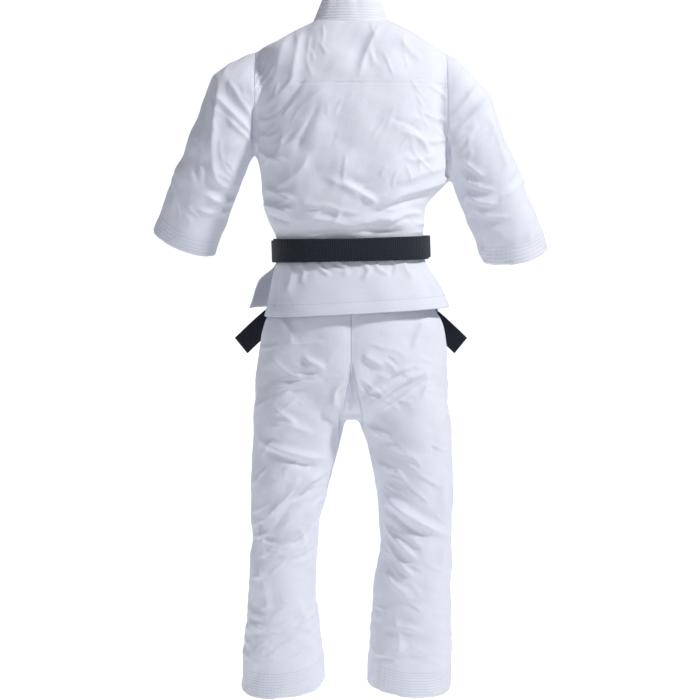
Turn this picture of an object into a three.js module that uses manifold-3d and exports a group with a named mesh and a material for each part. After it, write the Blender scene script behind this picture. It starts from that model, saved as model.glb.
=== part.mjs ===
// A karate uniform in heavy white canvas, tied with a black belt and shaped as if it were being worn:
// a wrap-over jacket, drawstring trousers and a belt of two wraps with a square knot and two tails.
// Millimetres, +Z up. The origin is the centre of the waist, the front faces -Y, the wearer's left is +X.
// Every cloth piece is a thin shell between two lofts of the same outline, one a little smaller than the
// other, cut to its panel by flat cutters. Pieces that swing are cut so that the swing moves them apart.

import * as THREE from "three";
import { LoftGeometry } from "three/addons/geometries/LoftGeometry.js";
import { mergeVertices } from "three/addons/utils/BufferGeometryUtils.js";
import Module from "manifold-3d";

const wasm = await Module();
wasm.setup();

// ---------------------------------------------------------------- driving dimensions

const cloth = 1.6; // thickness of one layer of canvas
const facing = 1.2; // thickness of a turned-in hem facing
const band = 3.0; // thickness of the padded, stitched collar band
const gap = 0.5; // clear space between two pieces that touch in the cloth
const layer = 4.0; // from the outside of one wrap-over front to the outside of the other

const waist = { half: 155, depth: 112 };
const chest = { half: 194, depth: 126, height: 165 };
const shoulder = { depth: 84, height: 400 }; // where the top of the sleeve seam lies
const neck = { half: 72, depth: 60, height: 470, scoop: 18 }; // scoop: how much lower it is cut in front
const skirt = { half: 188, depth: 131, length: 96, corner: 12, flare: 24 }; // length below the hinge line
const skirtHinge = 32; // how far below the waist the skirt panels hang from

const sleeve = { half: 71, depth: 67, length: 335, lean: 22.5, forward: 56, hem: 40 };
const shoulderTip = { x: 284, height: 337, uneven: 18 }; // the left shoulder is carried higher than the right

const collar = { width: 41, standWidth: 44, lean: 20, reach: 284 }; // reach: degrees round the neck
const belt = { width: 45, thickness: 3.2, slack: 1.7, tilt: 1.8 };
const knot = { half: 33, depth: 27, height: 46 };
const tail = { thickness: 4.2, start: 30, tip: 232, drop: 205 };

const trouserWaist = { height: 20, band: 42 };
const hips = { half: 199, depth: 124, below: 262 };
const crotch = { below: 335, halfStrip: 24 };
const thigh = { half: 91, depth: 101, out: 110, below: 395 };
const knee = { half: 71, depth: 80, out: 137, below: 606 };
const trouserHem = { half: 85, depth: 82, out: 131, below: 893, band: 50, backDrop: 14, sideDrop: 8 };
const hip = { below: 250, radius: 127 }; // the axis the legs swing about, and the round cut that clears it
const drawstring = 6;

const torsoSides = 32;
const limbSides = 22;
const knotSides = 20;
const roundness = 2.4; // exponent of the superellipse that every cross-section of the body follows

const canvasWhite = "#eceef6";
const bandWhite = "#f1f3fa";
const cordWhite = "#f4f4f0";
const beltBlack = "#15161a";

// ---------------------------------------------------------------- solids and cutters

// A closed geometry as a manifold solid.
function solid(geometry) {
  const bare = new THREE.BufferGeometry().setIndex(geometry.index);
  bare.setAttribute("position", geometry.attributes.position);
  const merged = mergeVertices(bare, 1e-4);
  const mesh = {
    numProp: 3,
    vertProperties: merged.attributes.position.array,
    triVerts: new Uint32Array(merged.index.array),
  };
  return new wasm.Manifold(new wasm.Mesh(mesh));
}

// A closed solid skinned over rings of points, each ring counterclockwise as seen from the loft's end.
function loft(rings) {
  return solid(new LoftGeometry(rings, { capStart: true, capEnd: true }));
}

// A box between two corners.
function block(low, high) {
  const size = high.map((value, i) => value - low[i]);
  const middle = high.map((value, i) => (value + low[i]) / 2);
  return solid(new THREE.BoxGeometry(...size).translate(...middle));
}

// A flat outline in the XZ plane, extruded along Y between two values.
function prism(outline, yLow, yHigh) {
  const shape = new THREE.Shape(outline.map(([x, z]) => new THREE.Vector2(x, z)));
  const made = new THREE.ExtrudeGeometry(shape, { depth: yHigh - yLow, bevelEnabled: false });
  return solid(made.rotateX(Math.PI / 2).translate(0, yHigh, 0));
}

const far = 1200; // beyond every piece, for cutters

// Everything to one side of a plane; left and right are the wearer's.
const above = (z) => block([-far, -far, z], [far, far, far]);
const below = (z) => block([-far, -far, -far], [far, far, z]);
const behind = (y) => block([-far, y, -far], [far, far, far]);
const leftOf = (x) => block([x, -far, -far], [far, far, far]);
const rightOf = (x) => block([-far, -far, -far], [x, far, far]);

const joined = (...parts) => parts.reduce((all, part) => all.add(part));
const common = (...parts) => parts.reduce((all, part) => all.intersect(part));
const lerp = THREE.MathUtils.lerp;
const radians = THREE.MathUtils.degToRad;

// ---------------------------------------------------------------- cross-sections

// One superellipse ring at a height, with its own half-width to each side and half-depth front and back.
function bodyRing({ z, left, right = left, back, front = back, x = 0, y = 0 }, grow, sides = torsoSides) {
  return Array.from({ length: sides }, (_, i) => {
    const angle = (2 * Math.PI * i) / sides;
    const c = Math.cos(angle);
    const s = Math.sin(angle);
    const across = (c > 0 ? left : right) + grow;
    const through = (s > 0 ? back : front) + grow;
    const bend = (value) => Math.sign(value) * Math.abs(value) ** (2 / roundness);
    return new THREE.Vector3(x + across * bend(c), y + through * bend(s), z);
  });
}

// The jacket's outline from below the waist to the neck; grow is the distance outside the outermost cloth.
function torso(grow) {
  const slope = (share) => lerp(chest.half, neck.half, share);
  const stations = [
    { z: -skirtHinge - 30, left: waist.half + 6, back: waist.depth + 4 },
    { z: -skirtHinge, left: waist.half, back: waist.depth },
    { z: belt.width / 2 + 9, left: waist.half, back: waist.depth },
    { z: belt.width / 2 + 38, left: waist.half + 17, back: waist.depth + 8 },
    { z: chest.height * 0.63, left: chest.half - 4, back: chest.depth - 3 },
    { z: chest.height, left: chest.half, back: chest.depth },
    { z: lerp(chest.height, shoulder.height, 0.45), left: chest.half, back: chest.depth - 6 },
    { z: lerp(chest.height, shoulder.height, 0.8), left: chest.half, back: chest.depth - 22 },
    { z: shoulder.height, left: chest.half - 9, back: shoulder.depth },
    { z: lerp(shoulder.height, neck.height, 0.45), left: slope(0.45), back: shoulder.depth - 10 },
    { z: lerp(shoulder.height, neck.height, 0.78), left: slope(0.8), back: shoulder.depth - 16 },
    { z: neck.height, left: neck.half, back: neck.depth },
  ];
  const rise = (z) => (z >= shoulder.height ? grow : 0);
  return loft(stations.map((station) => bodyRing({ ...station, z: station.z + rise(station.z) }, grow)));
}

// The centre line of a sleeve: straight down from the shoulder at a lean, with the forearm carried forward.
function sleeveLine(side) {
  const lean = radians(sleeve.lean);
  const down = new THREE.Vector3(side * Math.sin(lean), 0, -Math.cos(lean));
  const outward = new THREE.Vector3(side * Math.cos(lean), 0, Math.sin(lean));
  const tip = new THREE.Vector3(side * shoulderTip.x, 0, shoulderTip.height + side * shoulderTip.uneven);
  const start = tip.addScaledVector(outward, -sleeve.half);
  return (share) => {
    const forward = sleeve.forward * Math.max(0, (share - 0.3) / 0.7) ** 1.5;
    return start.clone().addScaledVector(down, share * sleeve.length).add(new THREE.Vector3(0, -forward, 0));
  };
}

// One ring square to a line, with its width across the front of the body and its depth through it.
function limbRing(line, share, half, depth) {
  const here = line(share);
  const along = line(share + 0.02).sub(line(share - 0.02)).normalize();
  const width = new THREE.Vector3(0, 1, 0).cross(along).normalize().negate();
  const through = along.clone().cross(width).normalize();
  return Array.from({ length: limbSides }, (_, i) => {
    const angle = (2 * Math.PI * i) / limbSides;
    const outwards = width.clone().multiplyScalar(half * Math.cos(angle));
    return here.clone().add(outwards).addScaledVector(through, depth * Math.sin(angle));
  });
}

// A sleeve from beyond its hem up to a dome that closes at the top of the armhole seam.
function sleeveTube(side, grow) {
  const line = sleeveLine(side);
  const ring = (share, size) => {
    const made = limbRing(line, share, (sleeve.half + grow) * size, (sleeve.depth + grow) * size);
    return made.reverse();
  };
  const tube = [1.08, 1, 0.8, 0.58, 0.38, 0.18, 0].map((share) => ring(share, 1));
  const apex = new THREE.Vector3(side * (chest.half - 8), 0, shoulder.height + 1 + grow);
  const towards = apex.sub(line(0));
  const dome = [25, 48, 68, 84].map((degrees) => {
    const moved = towards.clone().multiplyScalar(Math.sin(radians(degrees)));
    return ring(0, Math.cos(radians(degrees))).map((point) => point.add(moved));
  });
  return loft([...tube, ...dome]);
}

// Everything from a share of the sleeve's length onwards, cut square to its centre line.
function sleeveBeyond(side, share) {
  const line = sleeveLine(side);
  const along = line(share + 0.02).sub(line(share - 0.02)).normalize();
  const turn = new THREE.Quaternion().setFromUnitVectors(new THREE.Vector3(0, 0, 1), along);
  const cutter = new THREE.BoxGeometry(400, 400, 400).translate(0, 0, 200).applyQuaternion(turn);
  return solid(cutter.translate(...line(share).toArray()));
}

// The jacket as one closed body, and one layer of its cloth; out is the layer's outer surface.
const jacketBody = (grow) => joined(torso(grow), sleeveTube(1, grow), sleeveTube(-1, grow));
const jacketLayer = (out, thickness) => jacketBody(out).subtract(jacketBody(out - thickness));

// The skirt below the hinge line. The corners of the back flare on the right, those of the front on the left.
function skirtBody(grow, flareLeft, flareRight) {
  const hem = -skirtHinge - skirt.length;
  const stations = [
    { z: -skirtHinge + 25, left: waist.half, right: waist.half, back: waist.depth },
    { z: -skirtHinge, left: waist.half, right: waist.half, back: waist.depth },
    {
      z: lerp(-skirtHinge, hem, 0.4),
      left: lerp(waist.half, skirt.half, 0.42) + flareLeft * 0.2,
      right: lerp(waist.half, skirt.half, 0.42) + flareRight * 0.2,
      back: lerp(waist.depth, skirt.depth, 0.55),
    },
    { z: hem, left: skirt.half + flareLeft, right: skirt.half + flareRight, back: skirt.depth },
    {
      z: hem - 30,
      left: skirt.half + flareLeft * 1.4,
      right: skirt.half + flareRight * 1.4,
      back: skirt.depth + 5,
    },
  ];
  return loft(stations.reverse().map((station) => bodyRing(station, grow)));
}
function skirtLayer(out, thickness, flareLeft, flareRight) {
  return skirtBody(out, flareLeft, flareRight).subtract(skirtBody(out - thickness, flareLeft, flareRight));
}

// The trousers: a loft from the waistband to the crotch, and a loft for each leg. They keep inside the skirt.
const insideSkirt = 11;
function trouserBody(grow) {
  const skirtHem = -skirtHinge - skirt.length;
  const seat = [
    { z: -crotch.below - grow, left: hips.half - 24, back: hips.depth - 32 },
    { z: -lerp(hips.below, crotch.below, 0.5), left: hips.half - 7, back: hips.depth - 11 },
    { z: -hips.below + 10, left: hips.half, back: hips.depth },
    { z: skirtHem - 62, left: hips.half - 20, back: hips.depth - 3 },
    { z: skirtHem, left: skirt.half - insideSkirt - 9, back: skirt.depth - insideSkirt - 2 },
    {
      z: lerp(-skirtHinge, skirtHem, 0.4),
      left: lerp(waist.half, skirt.half, 0.12) - insideSkirt,
      back: lerp(waist.depth, skirt.depth, 0.42) - insideSkirt,
    },
    { z: -skirtHinge + 10, left: waist.half - insideSkirt, back: waist.depth - insideSkirt },
    { z: trouserWaist.height + 20, left: waist.half - insideSkirt, back: waist.depth - insideSkirt },
  ];
  const legs = [1, -1].map((side) => trouserLeg(side, grow));
  return joined(loft(seat.map((station) => bodyRing(station, grow))), ...legs);
}
function trouserLeg(side, grow) {
  const midThigh = lerp(thigh.below, knee.below, 0.55);
  const calf = lerp(knee.below, trouserHem.below, 0.45);
  const stations = [
    { z: -trouserHem.below - 60, left: trouserHem.half + 3, back: trouserHem.depth, out: trouserHem.out },
    { z: -trouserHem.below + 50, left: trouserHem.half, back: trouserHem.depth - 1, out: trouserHem.out + 2 },
    { z: -calf, left: lerp(knee.half, trouserHem.half, 0.4), back: knee.depth - 2, out: knee.out + 1 },
    { z: -knee.below, left: knee.half, back: knee.depth, out: knee.out },
    {
      z: -midThigh,
      left: lerp(thigh.half, knee.half, 0.7),
      back: lerp(thigh.depth, knee.depth, 0.6),
      out: lerp(thigh.out, knee.out, 0.75),
    },
    { z: -thigh.below, left: thigh.half, back: thigh.depth, out: thigh.out },
    { z: -crotch.below, left: thigh.half + 2, back: thigh.depth + 9, out: thigh.out - 3 },
    { z: -hips.below + 30, left: thigh.half - 4, back: thigh.depth - 2, out: thigh.out - 10 },
  ];
  const ring = (station) => bodyRing({ ...station, x: side * station.out }, grow, limbSides);
  return loft(stations.map(ring));
}
const trouserLayer = (out, thickness) => trouserBody(out).subtract(trouserBody(out - thickness));

// ---------------------------------------------------------------- the wrap-over fronts

// The seam where the left collar band joins the left front, seen from the front: from the neck across the
// chest to the hem on the other side. The right front mirrors it.
const lapelSeam = new THREE.SplineCurve(
  [
    [neck.half - 4, neck.height + 40],
    [neck.half - 8, neck.height - 12],
    [48, 400],
    [18, 322],
    [-14, 240],
    [-48, 150],
    [-82, 50],
    [-104, -skirtHinge],
    [-122, -skirtHinge - skirt.length - 40],
  ].map(([x, z]) => new THREE.Vector2(x, z)),
).getPoints(24);

// The seam moved sideways by a distance towards the band's free edge.
function seamMoved(distance) {
  return lapelSeam.map((point, i) => {
    const before = lapelSeam[Math.max(0, i - 1)];
    const after = lapelSeam[Math.min(lapelSeam.length - 1, i + 1)];
    const along = after.clone().sub(before).normalize();
    return [point.x + along.y * distance, point.y - along.x * distance];
  });
}
const mirrored = (outline) => outline.map(([x, z]) => [-x, z]).reverse();

// Everything on the wearer's side of the lapel seam, and the strip that the band covers.
const frontOutline = [...seamMoved(-gap / 2), [far, -far], [far, far]];
const bandOutline = [...seamMoved(gap / 2), ...seamMoved(collar.width).reverse()];
const wearsLeft = prism(frontOutline, -far, -gap / 2);
const wearsRight = prism(mirrored(frontOutline), -far, -gap / 2);
const leftBandStrip = prism(bandOutline, -far, -gap / 2);
const rightBandStrip = prism(mirrored(bandOutline), -far, -gap / 2);

const neckHole = loft(
  [neck.height - 70, neck.height + 60].map((z) =>
    bodyRing({ z, left: neck.half - 2, back: neck.depth - 2, front: neck.depth + neck.scoop }, 0),
  ),
);

// ---------------------------------------------------------------- the jacket above the waist

const inner = -layer; // the outer surface of the front that lies underneath
const seamPlane = chest.half + 1;
const chestSpan = common(rightOf(seamPlane), leftOf(-seamPlane), above(-skirtHinge + gap));
const outerCloth = jacketLayer(0, cloth);
const outerChest = common(outerCloth, chestSpan).subtract(neckHole);
const innerChest = common(jacketLayer(inner, cloth), chestSpan).subtract(neckHole);

const backPanel = common(outerChest, behind(gap / 2));
const leftFront = common(outerChest, wearsLeft);
const rightFront = common(innerChest, wearsRight);

// A double yoke lies inside the back and over the tops of the shoulders.
const yokeBottom = lerp(chest.height, shoulder.height, 0.71);
const yokeOut = -cloth - gap;
const yokeLayer = torso(yokeOut).subtract(torso(yokeOut - cloth));
const yoke = common(
  yokeLayer,
  above(yokeBottom),
  behind(gap),
  rightOf(chest.half - 30),
  leftOf(-chest.half + 30),
).subtract(neckHole);

// The collar bands lie along the wrap-over edges, thicker than the cloth they finish.
const bandBelowNeck = common(above(-skirtHinge + gap), below(neck.height - 12));
const bandProud = 0.7;
const bandLayer = (out) => torso(out).subtract(torso(out - band));
const leftBand = common(bandLayer(bandProud), leftBandStrip, bandBelowNeck);
const rightBand = common(bandLayer(inner + bandProud), rightBandStrip, bandBelowNeck);

// The standing part of the collar goes round the back of the neck and comes forward to meet the two bands,
// leaning in towards the neck; clear makes it larger all round.
function collarStand(clear) {
  const lean = radians(collar.lean);
  const inward = collar.standWidth * Math.sin(lean);
  const upward = collar.standWidth * Math.cos(lean);
  const steps = 26;
  const sections = Array.from({ length: steps + 1 }, (_, i) => {
    const angle = Math.PI / 2 + radians(collar.reach + 3 * clear) * (i / steps - 0.5);
    const depth = Math.sin(angle) > 0 ? neck.depth : neck.depth + neck.scoop;
    const foot = neck.height + 2 - 22 * Math.max(0, 0.35 - Math.sin(angle));
    const corner = (shrink, rise) => {
      const across = (neck.half - shrink) * Math.cos(angle);
      return new THREE.Vector3(across, (depth - shrink) * Math.sin(angle), foot + rise);
    };
    return [
      corner(band + clear, -1 - clear),
      corner(inward + band + clear, upward - 1 + clear),
      corner(inward - clear, upward + clear),
      corner(-clear, -clear),
    ];
  });
  return loft(sections);
}
const stand = collarStand(0);
const standSpace = collarStand(1.5 * gap);

// ---------------------------------------------------------------- the sleeves

function sleevePieces(side) {
  const outside = side > 0 ? leftOf(seamPlane + gap) : rightOf(-seamPlane - gap);
  const pastHem = sleeveBeyond(side, 1);
  const panel = common(outerCloth, outside).subtract(pastHem);
  const facingOut = -cloth - gap;
  const facingTube = sleeveTube(side, facingOut).subtract(sleeveTube(side, facingOut - facing));
  const turnedIn = sleeveBeyond(side, 1 - sleeve.hem / sleeve.length);
  return { panel, facing: facingTube.intersect(turnedIn).subtract(pastHem) };
}
const leftSleeve = sleevePieces(1);
const rightSleeve = sleevePieces(-1);

// ---------------------------------------------------------------- the skirt below the belt

const skirtTop = -skirtHinge;
const skirtHemDepth = 26;
const skirtSpan = common(below(skirtTop), above(skirtTop - skirt.length));
const hemSpan = skirtSpan.intersect(below(skirtTop - skirt.length + skirtHemDepth));
const backFlare = [-8, skirt.corner + 4];
const frontFlare = [skirt.flare, 2];
const backSkirt = common(skirtLayer(0, cloth, ...backFlare), behind(gap / 2), skirtSpan);
const backSkirtHem = common(skirtLayer(-cloth - gap, facing, ...backFlare), behind(gap), hemSpan);
const leftSkirt = common(skirtLayer(0, cloth, ...frontFlare), wearsLeft, skirtSpan);
const rightSkirt = common(skirtLayer(inner, cloth, ...frontFlare), wearsRight, skirtSpan);
const leftSkirtBand = common(skirtLayer(bandProud, band, ...frontFlare), leftBandStrip, skirtSpan);
const rightSkirtBand = common(skirtLayer(inner + bandProud, band, ...frontFlare), rightBandStrip, skirtSpan);

// ---------------------------------------------------------------- the belt

const tiltBelt = (piece) => piece.rotate([0, belt.tilt, 0]);
function beltHoop(inside) {
  const ring = (z, grow) => bodyRing({ z, left: waist.half, back: waist.depth }, grow);
  const hoop = (grow, past) => loft([-1, 1].map((end) => ring(end * (belt.width / 2 + past), grow)));
  return hoop(inside + belt.thickness, 0).subtract(hoop(inside, 5));
}
const innerWrapAt = belt.slack;
const outerWrapAt = belt.slack + belt.thickness + gap;
const innerWrap = tiltBelt(beltHoop(innerWrapAt));
const outerWrap = tiltBelt(beltHoop(outerWrapAt));
const beltFace = waist.depth + outerWrapAt + belt.thickness; // how far the belt stands out at the front

// The knot: a rounded lump on the front of the belt, hollowed to sit on it.
function knotLump() {
  const middle = -beltFace - knot.depth * 0.3;
  const rings = [-1, -0.7, 0, 0.7, 1].map((share) => {
    const size = Math.sqrt(1 - (share * 0.8) ** 2);
    const z = (share * knot.height) / 2;
    return bodyRing({ z, left: knot.half * size, back: knot.depth * size, y: middle }, 0, knotSides);
  });
  const clearOfBelt = beltFace - waist.depth + gap + 1;
  const seat = [-knot.height, knot.height].map((z) =>
    bodyRing({ z, left: waist.half, back: waist.depth }, clearOfBelt),
  );
  return loft(rings).subtract(loft(seat));
}

// A tail: a flat strip from under the knot, down and outwards around the front of the hip.
function beltTail(side) {
  const outline = [
    [0, beltFace + 14, knot.height / 2 + 12],
    [0.22, beltFace + 13, 84],
    [0.5, beltFace - 2, 118],
    [0.76, beltFace - 26, 160],
    [1, beltFace - 46, tail.drop],
  ];
  const points = outline.map(
    ([share, y, z]) => new THREE.Vector3(side * lerp(tail.start, tail.tip, share), -y, -z),
  );
  const path = new THREE.CatmullRomCurve3(points);
  const sections = Array.from({ length: 13 }, (_, i) => {
    const here = path.getPoint(i / 12);
    const along = path.getTangent(i / 12);
    const outward = new THREE.Vector3(side * (0.15 + 0.55 * (i / 12)), -1, 0).normalize();
    const across = along.clone().cross(outward).normalize();
    const face = across.clone().cross(along).normalize();
    const halfWidth = across.multiplyScalar(belt.width / 2);
    const halfThick = face.multiplyScalar(tail.thickness / 2);
    return [
      here.clone().sub(halfWidth).add(halfThick),
      here.clone().add(halfWidth).add(halfThick),
      here.clone().add(halfWidth).sub(halfThick),
      here.clone().sub(halfWidth).sub(halfThick),
    ];
  });
  return loft(sections);
}

// ---------------------------------------------------------------- the trousers

const trouserCloth = trouserLayer(0, cloth);
const hemPitch = Math.atan2(trouserHem.backDrop, trouserHem.depth);

// Everything above the hem of a leg, whose plane drops towards the back and outside; raise moves it up.
function aboveHem(side, raise) {
  const roll = Math.atan2(trouserHem.sideDrop, trouserHem.half) * side;
  const turn = new THREE.Euler(-hemPitch, roll, 0);
  const cutter = new THREE.BoxGeometry(600, 600, 1600).translate(0, 0, 800);
  cutter.applyQuaternion(new THREE.Quaternion().setFromEuler(turn));
  return solid(cutter.translate(side * trouserHem.out, 0, -trouserHem.below + raise));
}

const bandFoot = trouserWaist.height - trouserWaist.band;
const hipDrum = (radius) =>
  solid(new THREE.CylinderGeometry(radius, radius, 900, 64).rotateZ(Math.PI / 2).translate(0, 0, -hip.below));
const legSpace = joined(hipDrum(hip.radius), below(-hip.below));
const legSpaceCleared = joined(hipDrum(hip.radius - 1), below(-hip.below));
const centreStrip = (grow) => common(leftOf(-crotch.halfStrip - grow), rightOf(crotch.halfStrip + grow));
const strip = centreStrip(0).intersect(hipDrum(hip.radius - 1));
const stripCleared = centreStrip(gap).intersect(hipDrum(hip.radius));

const seatPanel = common(trouserCloth, below(bandFoot - gap)).subtract(legSpace);
const gusset = trouserCloth.intersect(strip);
const casing = drawstring * 0.5 + 1;
const waistSpan = common(above(bandFoot), below(trouserWaist.height));
const waistFacing = trouserLayer(-cloth - casing, facing).intersect(waistSpan);

const waistband = trouserCloth.intersect(waistSpan);

// The drawstring runs round inside the casing between the waistband and its facing.
const cordOut = -cloth - gap;
const cordAt = trouserWaist.height - 16;
const cordThickness = 1.8;
const cordSpan = common(above(cordAt - drawstring), below(cordAt + drawstring));
const cordLoop = trouserLayer(cordOut, cordThickness).intersect(cordSpan);

function legPieces(side) {
  const own = side > 0 ? leftOf(gap) : rightOf(-gap);
  const panel = common(trouserCloth, own, legSpaceCleared, aboveHem(side, 0)).subtract(stripCleared);
  const facingLayer = trouserLayer(-cloth - gap, facing);
  const hem = common(facingLayer, own, aboveHem(side, 0), below(-knee.below)).subtract(
    aboveHem(side, trouserHem.band),
  );
  return { panel, hem };
}
const leftLeg = legPieces(1);
const rightLeg = legPieces(-1);

// ---------------------------------------------------------------- the assembly

const uniform = new THREE.Group();

// Adds one named piece to the uniform.
function piece(name, made, color, roughness = 0.85) {
  const { vertProperties, triVerts } = made.getMesh();
  const geometry = new THREE.BufferGeometry();
  geometry.setAttribute("position", new THREE.BufferAttribute(vertProperties, 3));
  geometry.setIndex(new THREE.BufferAttribute(triVerts, 1));
  geometry.computeVertexNormals();
  const mesh = new THREE.Mesh(geometry, new THREE.MeshStandardMaterial({ color, roughness, metalness: 0 }));
  mesh.name = name;
  uniform.add(mesh);
}

piece("jacket_back", backPanel.subtract(standSpace), canvasWhite);
piece("jacket_left_front", leftFront.subtract(standSpace), canvasWhite);
piece("jacket_right_front", rightFront.subtract(standSpace), canvasWhite);
piece("shoulder_yoke", yoke.subtract(standSpace), canvasWhite);
piece("collar_stand", stand, bandWhite);
piece("left_lapel_band", leftBand.subtract(standSpace), bandWhite);
piece("right_lapel_band", rightBand.subtract(standSpace), bandWhite);

piece("left_sleeve_cloth", leftSleeve.panel, canvasWhite);
piece("left_cuff_facing", leftSleeve.facing, bandWhite);
piece("right_sleeve_cloth", rightSleeve.panel, canvasWhite);
piece("right_cuff_facing", rightSleeve.facing, bandWhite);

piece("back_skirt_cloth", backSkirt, canvasWhite);
piece("back_skirt_hem", backSkirtHem, bandWhite);
piece("left_front_skirt", leftSkirt, canvasWhite);
piece("right_front_skirt", rightSkirt, canvasWhite);
piece("left_skirt_band", leftSkirtBand, bandWhite);
piece("right_skirt_band", rightSkirtBand, bandWhite);

piece("belt_inner_wrap", innerWrap, beltBlack);
piece("belt_outer_wrap", outerWrap, beltBlack);
piece("belt_knot", knotLump(), beltBlack);
piece("belt_tail_left", beltTail(1), beltBlack);
piece("belt_tail_right", beltTail(-1), beltBlack);

piece("trouser_seat", seatPanel, canvasWhite);
piece("crotch_gusset", gusset, canvasWhite);
piece("waistband", waistband, bandWhite);
piece("waistband_facing", waistFacing, bandWhite);
piece("drawstring", cordLoop, cordWhite);
piece("trouser_left_leg", leftLeg.panel, canvasWhite);
piece("trouser_left_hem", leftLeg.hem, bandWhite);
piece("trouser_right_leg", rightLeg.panel, canvasWhite);
piece("trouser_right_hem", rightLeg.hem, bandWhite);

export default uniform;
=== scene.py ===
# %% [markdown]
# # A karate uniform, shaped as if it were worn
# A jacket that wraps left over right, drawstring trousers, and a black belt wound twice and tied in front.
# The imported model gives the frame: where every panel ends. This script makes the cloth. Each garment starts
# as one smooth form. Folds and creases are pushed into its surface, and it is then cut into panels along its
# seams. The folds are shaped from listed lines and nothing is simulated.

# %% Load the imported model and keep its box
import math
import bmesh
import bpy
import numpy as np
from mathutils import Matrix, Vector


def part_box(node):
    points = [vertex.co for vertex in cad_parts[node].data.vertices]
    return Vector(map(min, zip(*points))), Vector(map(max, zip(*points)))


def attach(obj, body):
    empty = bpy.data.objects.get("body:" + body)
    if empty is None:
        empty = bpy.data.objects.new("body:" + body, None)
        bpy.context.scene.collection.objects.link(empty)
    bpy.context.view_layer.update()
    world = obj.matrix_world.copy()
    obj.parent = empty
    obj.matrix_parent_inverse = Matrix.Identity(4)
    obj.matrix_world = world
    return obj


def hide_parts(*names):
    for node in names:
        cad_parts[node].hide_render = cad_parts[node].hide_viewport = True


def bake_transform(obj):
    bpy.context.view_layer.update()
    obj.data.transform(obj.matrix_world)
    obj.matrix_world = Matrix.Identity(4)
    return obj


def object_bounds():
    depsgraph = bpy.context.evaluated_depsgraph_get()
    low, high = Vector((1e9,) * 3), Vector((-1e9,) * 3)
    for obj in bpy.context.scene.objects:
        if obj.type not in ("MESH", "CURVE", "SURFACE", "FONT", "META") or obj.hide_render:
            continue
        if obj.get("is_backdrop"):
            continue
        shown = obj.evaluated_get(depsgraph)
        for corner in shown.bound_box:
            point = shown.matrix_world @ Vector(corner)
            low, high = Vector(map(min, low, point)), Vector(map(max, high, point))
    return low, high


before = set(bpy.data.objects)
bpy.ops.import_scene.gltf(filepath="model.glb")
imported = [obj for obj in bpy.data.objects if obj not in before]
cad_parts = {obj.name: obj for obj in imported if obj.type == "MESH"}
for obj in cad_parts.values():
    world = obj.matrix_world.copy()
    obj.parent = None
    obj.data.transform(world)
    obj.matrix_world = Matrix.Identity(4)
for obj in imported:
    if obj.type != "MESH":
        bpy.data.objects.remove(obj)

cad_low, cad_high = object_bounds()
print("CAD box", [round(v, 3) for v in (*cad_low, *cad_high)])

# %% [markdown]
# ## The camera and the room
# The uniform is looked at from behind, a little from above, with a lens long enough that it is not distorted.
# A studio would use a white sweep: a floor that curves up into a wall, so that no horizon shows. This one is
# round, so the uniform can be looked at from any side. Its floor is low enough for the trousers to drop without
# meeting it.

# %% Camera, sweep and soft lights
scene = bpy.context.scene


def add_camera(name, place, target, frame_height):
    """A camera at place aimed at target, whose frame is frame_height tall at the target's distance."""
    data = bpy.data.cameras.new(name)
    camera = bpy.data.objects.new(name, data)
    scene.collection.objects.link(camera)
    aim = Vector(target) - Vector(place)
    camera.location = place
    camera.rotation_euler = aim.to_track_quat("-Z", "Y").to_euler()
    data.sensor_width = 36.0
    data.lens = 36.0 * aim.length / frame_height
    return camera


waist_to_frame_middle = -0.209
scene.camera = add_camera("camera", (0.002, 3.5, 0.05), (0.002, 0.0, waist_to_frame_middle), 1.449)


def soft_light(name, place, target, size, watts, colour=(1, 1, 1)):
    """A square softbox of the given size and power, aimed at target."""
    data = bpy.data.lights.new(name, "AREA")
    data.size, data.energy, data.color = size, watts, colour
    light = bpy.data.objects.new(name, data)
    scene.collection.objects.link(light)
    light.location = place
    light.rotation_euler = (Vector(target) - Vector(place)).to_track_quat("-Z", "Y").to_euler()
    return light


soft_light("key", (-2.3, 1.5, 2.4), (0, 0, -0.15), 0.45, 100)
soft_light("fill", (0.8, 3.6, 0.4), (0, 0, -0.2), 1.6, 18, (0.90, 0.93, 1.0))
soft_light("front_side", (1.6, -2.6, 1.6), (0, 0, -0.2), 1.4, 12)

world = bpy.data.worlds.new("studio")
scene.world = world
world.use_nodes = True
world.node_tree.nodes["Background"].inputs["Color"].default_value = (0.80, 0.84, 1.0, 1)
world.node_tree.nodes["Background"].inputs["Strength"].default_value = 0.27


def round_sweep(name, flat, bend, height, floor, sides=96):
    """A round room: a floor out to radius flat, a quarter circle of radius bend, and a wall up to a height."""
    turn = np.linspace(0, math.pi / 2, 21)
    radius = np.r_[0.001, flat / 2, flat + bend * np.sin(turn), flat + bend]
    rise = np.r_[floor, floor, floor + bend - bend * np.cos(turn), height]
    around = np.linspace(0, 2 * math.pi, sides, endpoint=False)
    points = np.stack(
        [np.outer(np.cos(around), radius), np.outer(np.sin(around), radius), np.tile(rise, (sides, 1))], -1
    )
    n = len(radius)
    i, j = np.meshgrid(np.arange(sides), np.arange(n - 1), indexing="ij")
    k = (i + 1) % sides
    faces = np.stack([i * n + j, i * n + j + 1, k * n + j + 1, k * n + j], -1).reshape(-1, 4)
    mesh = bpy.data.meshes.new(name)
    mesh.from_pydata(points.reshape(-1, 3).tolist(), [], faces.tolist())
    mesh.polygons.foreach_set("use_smooth", [True] * len(mesh.polygons))
    made = bpy.data.objects.new(name, mesh)
    scene.collection.objects.link(made)
    return made


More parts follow.
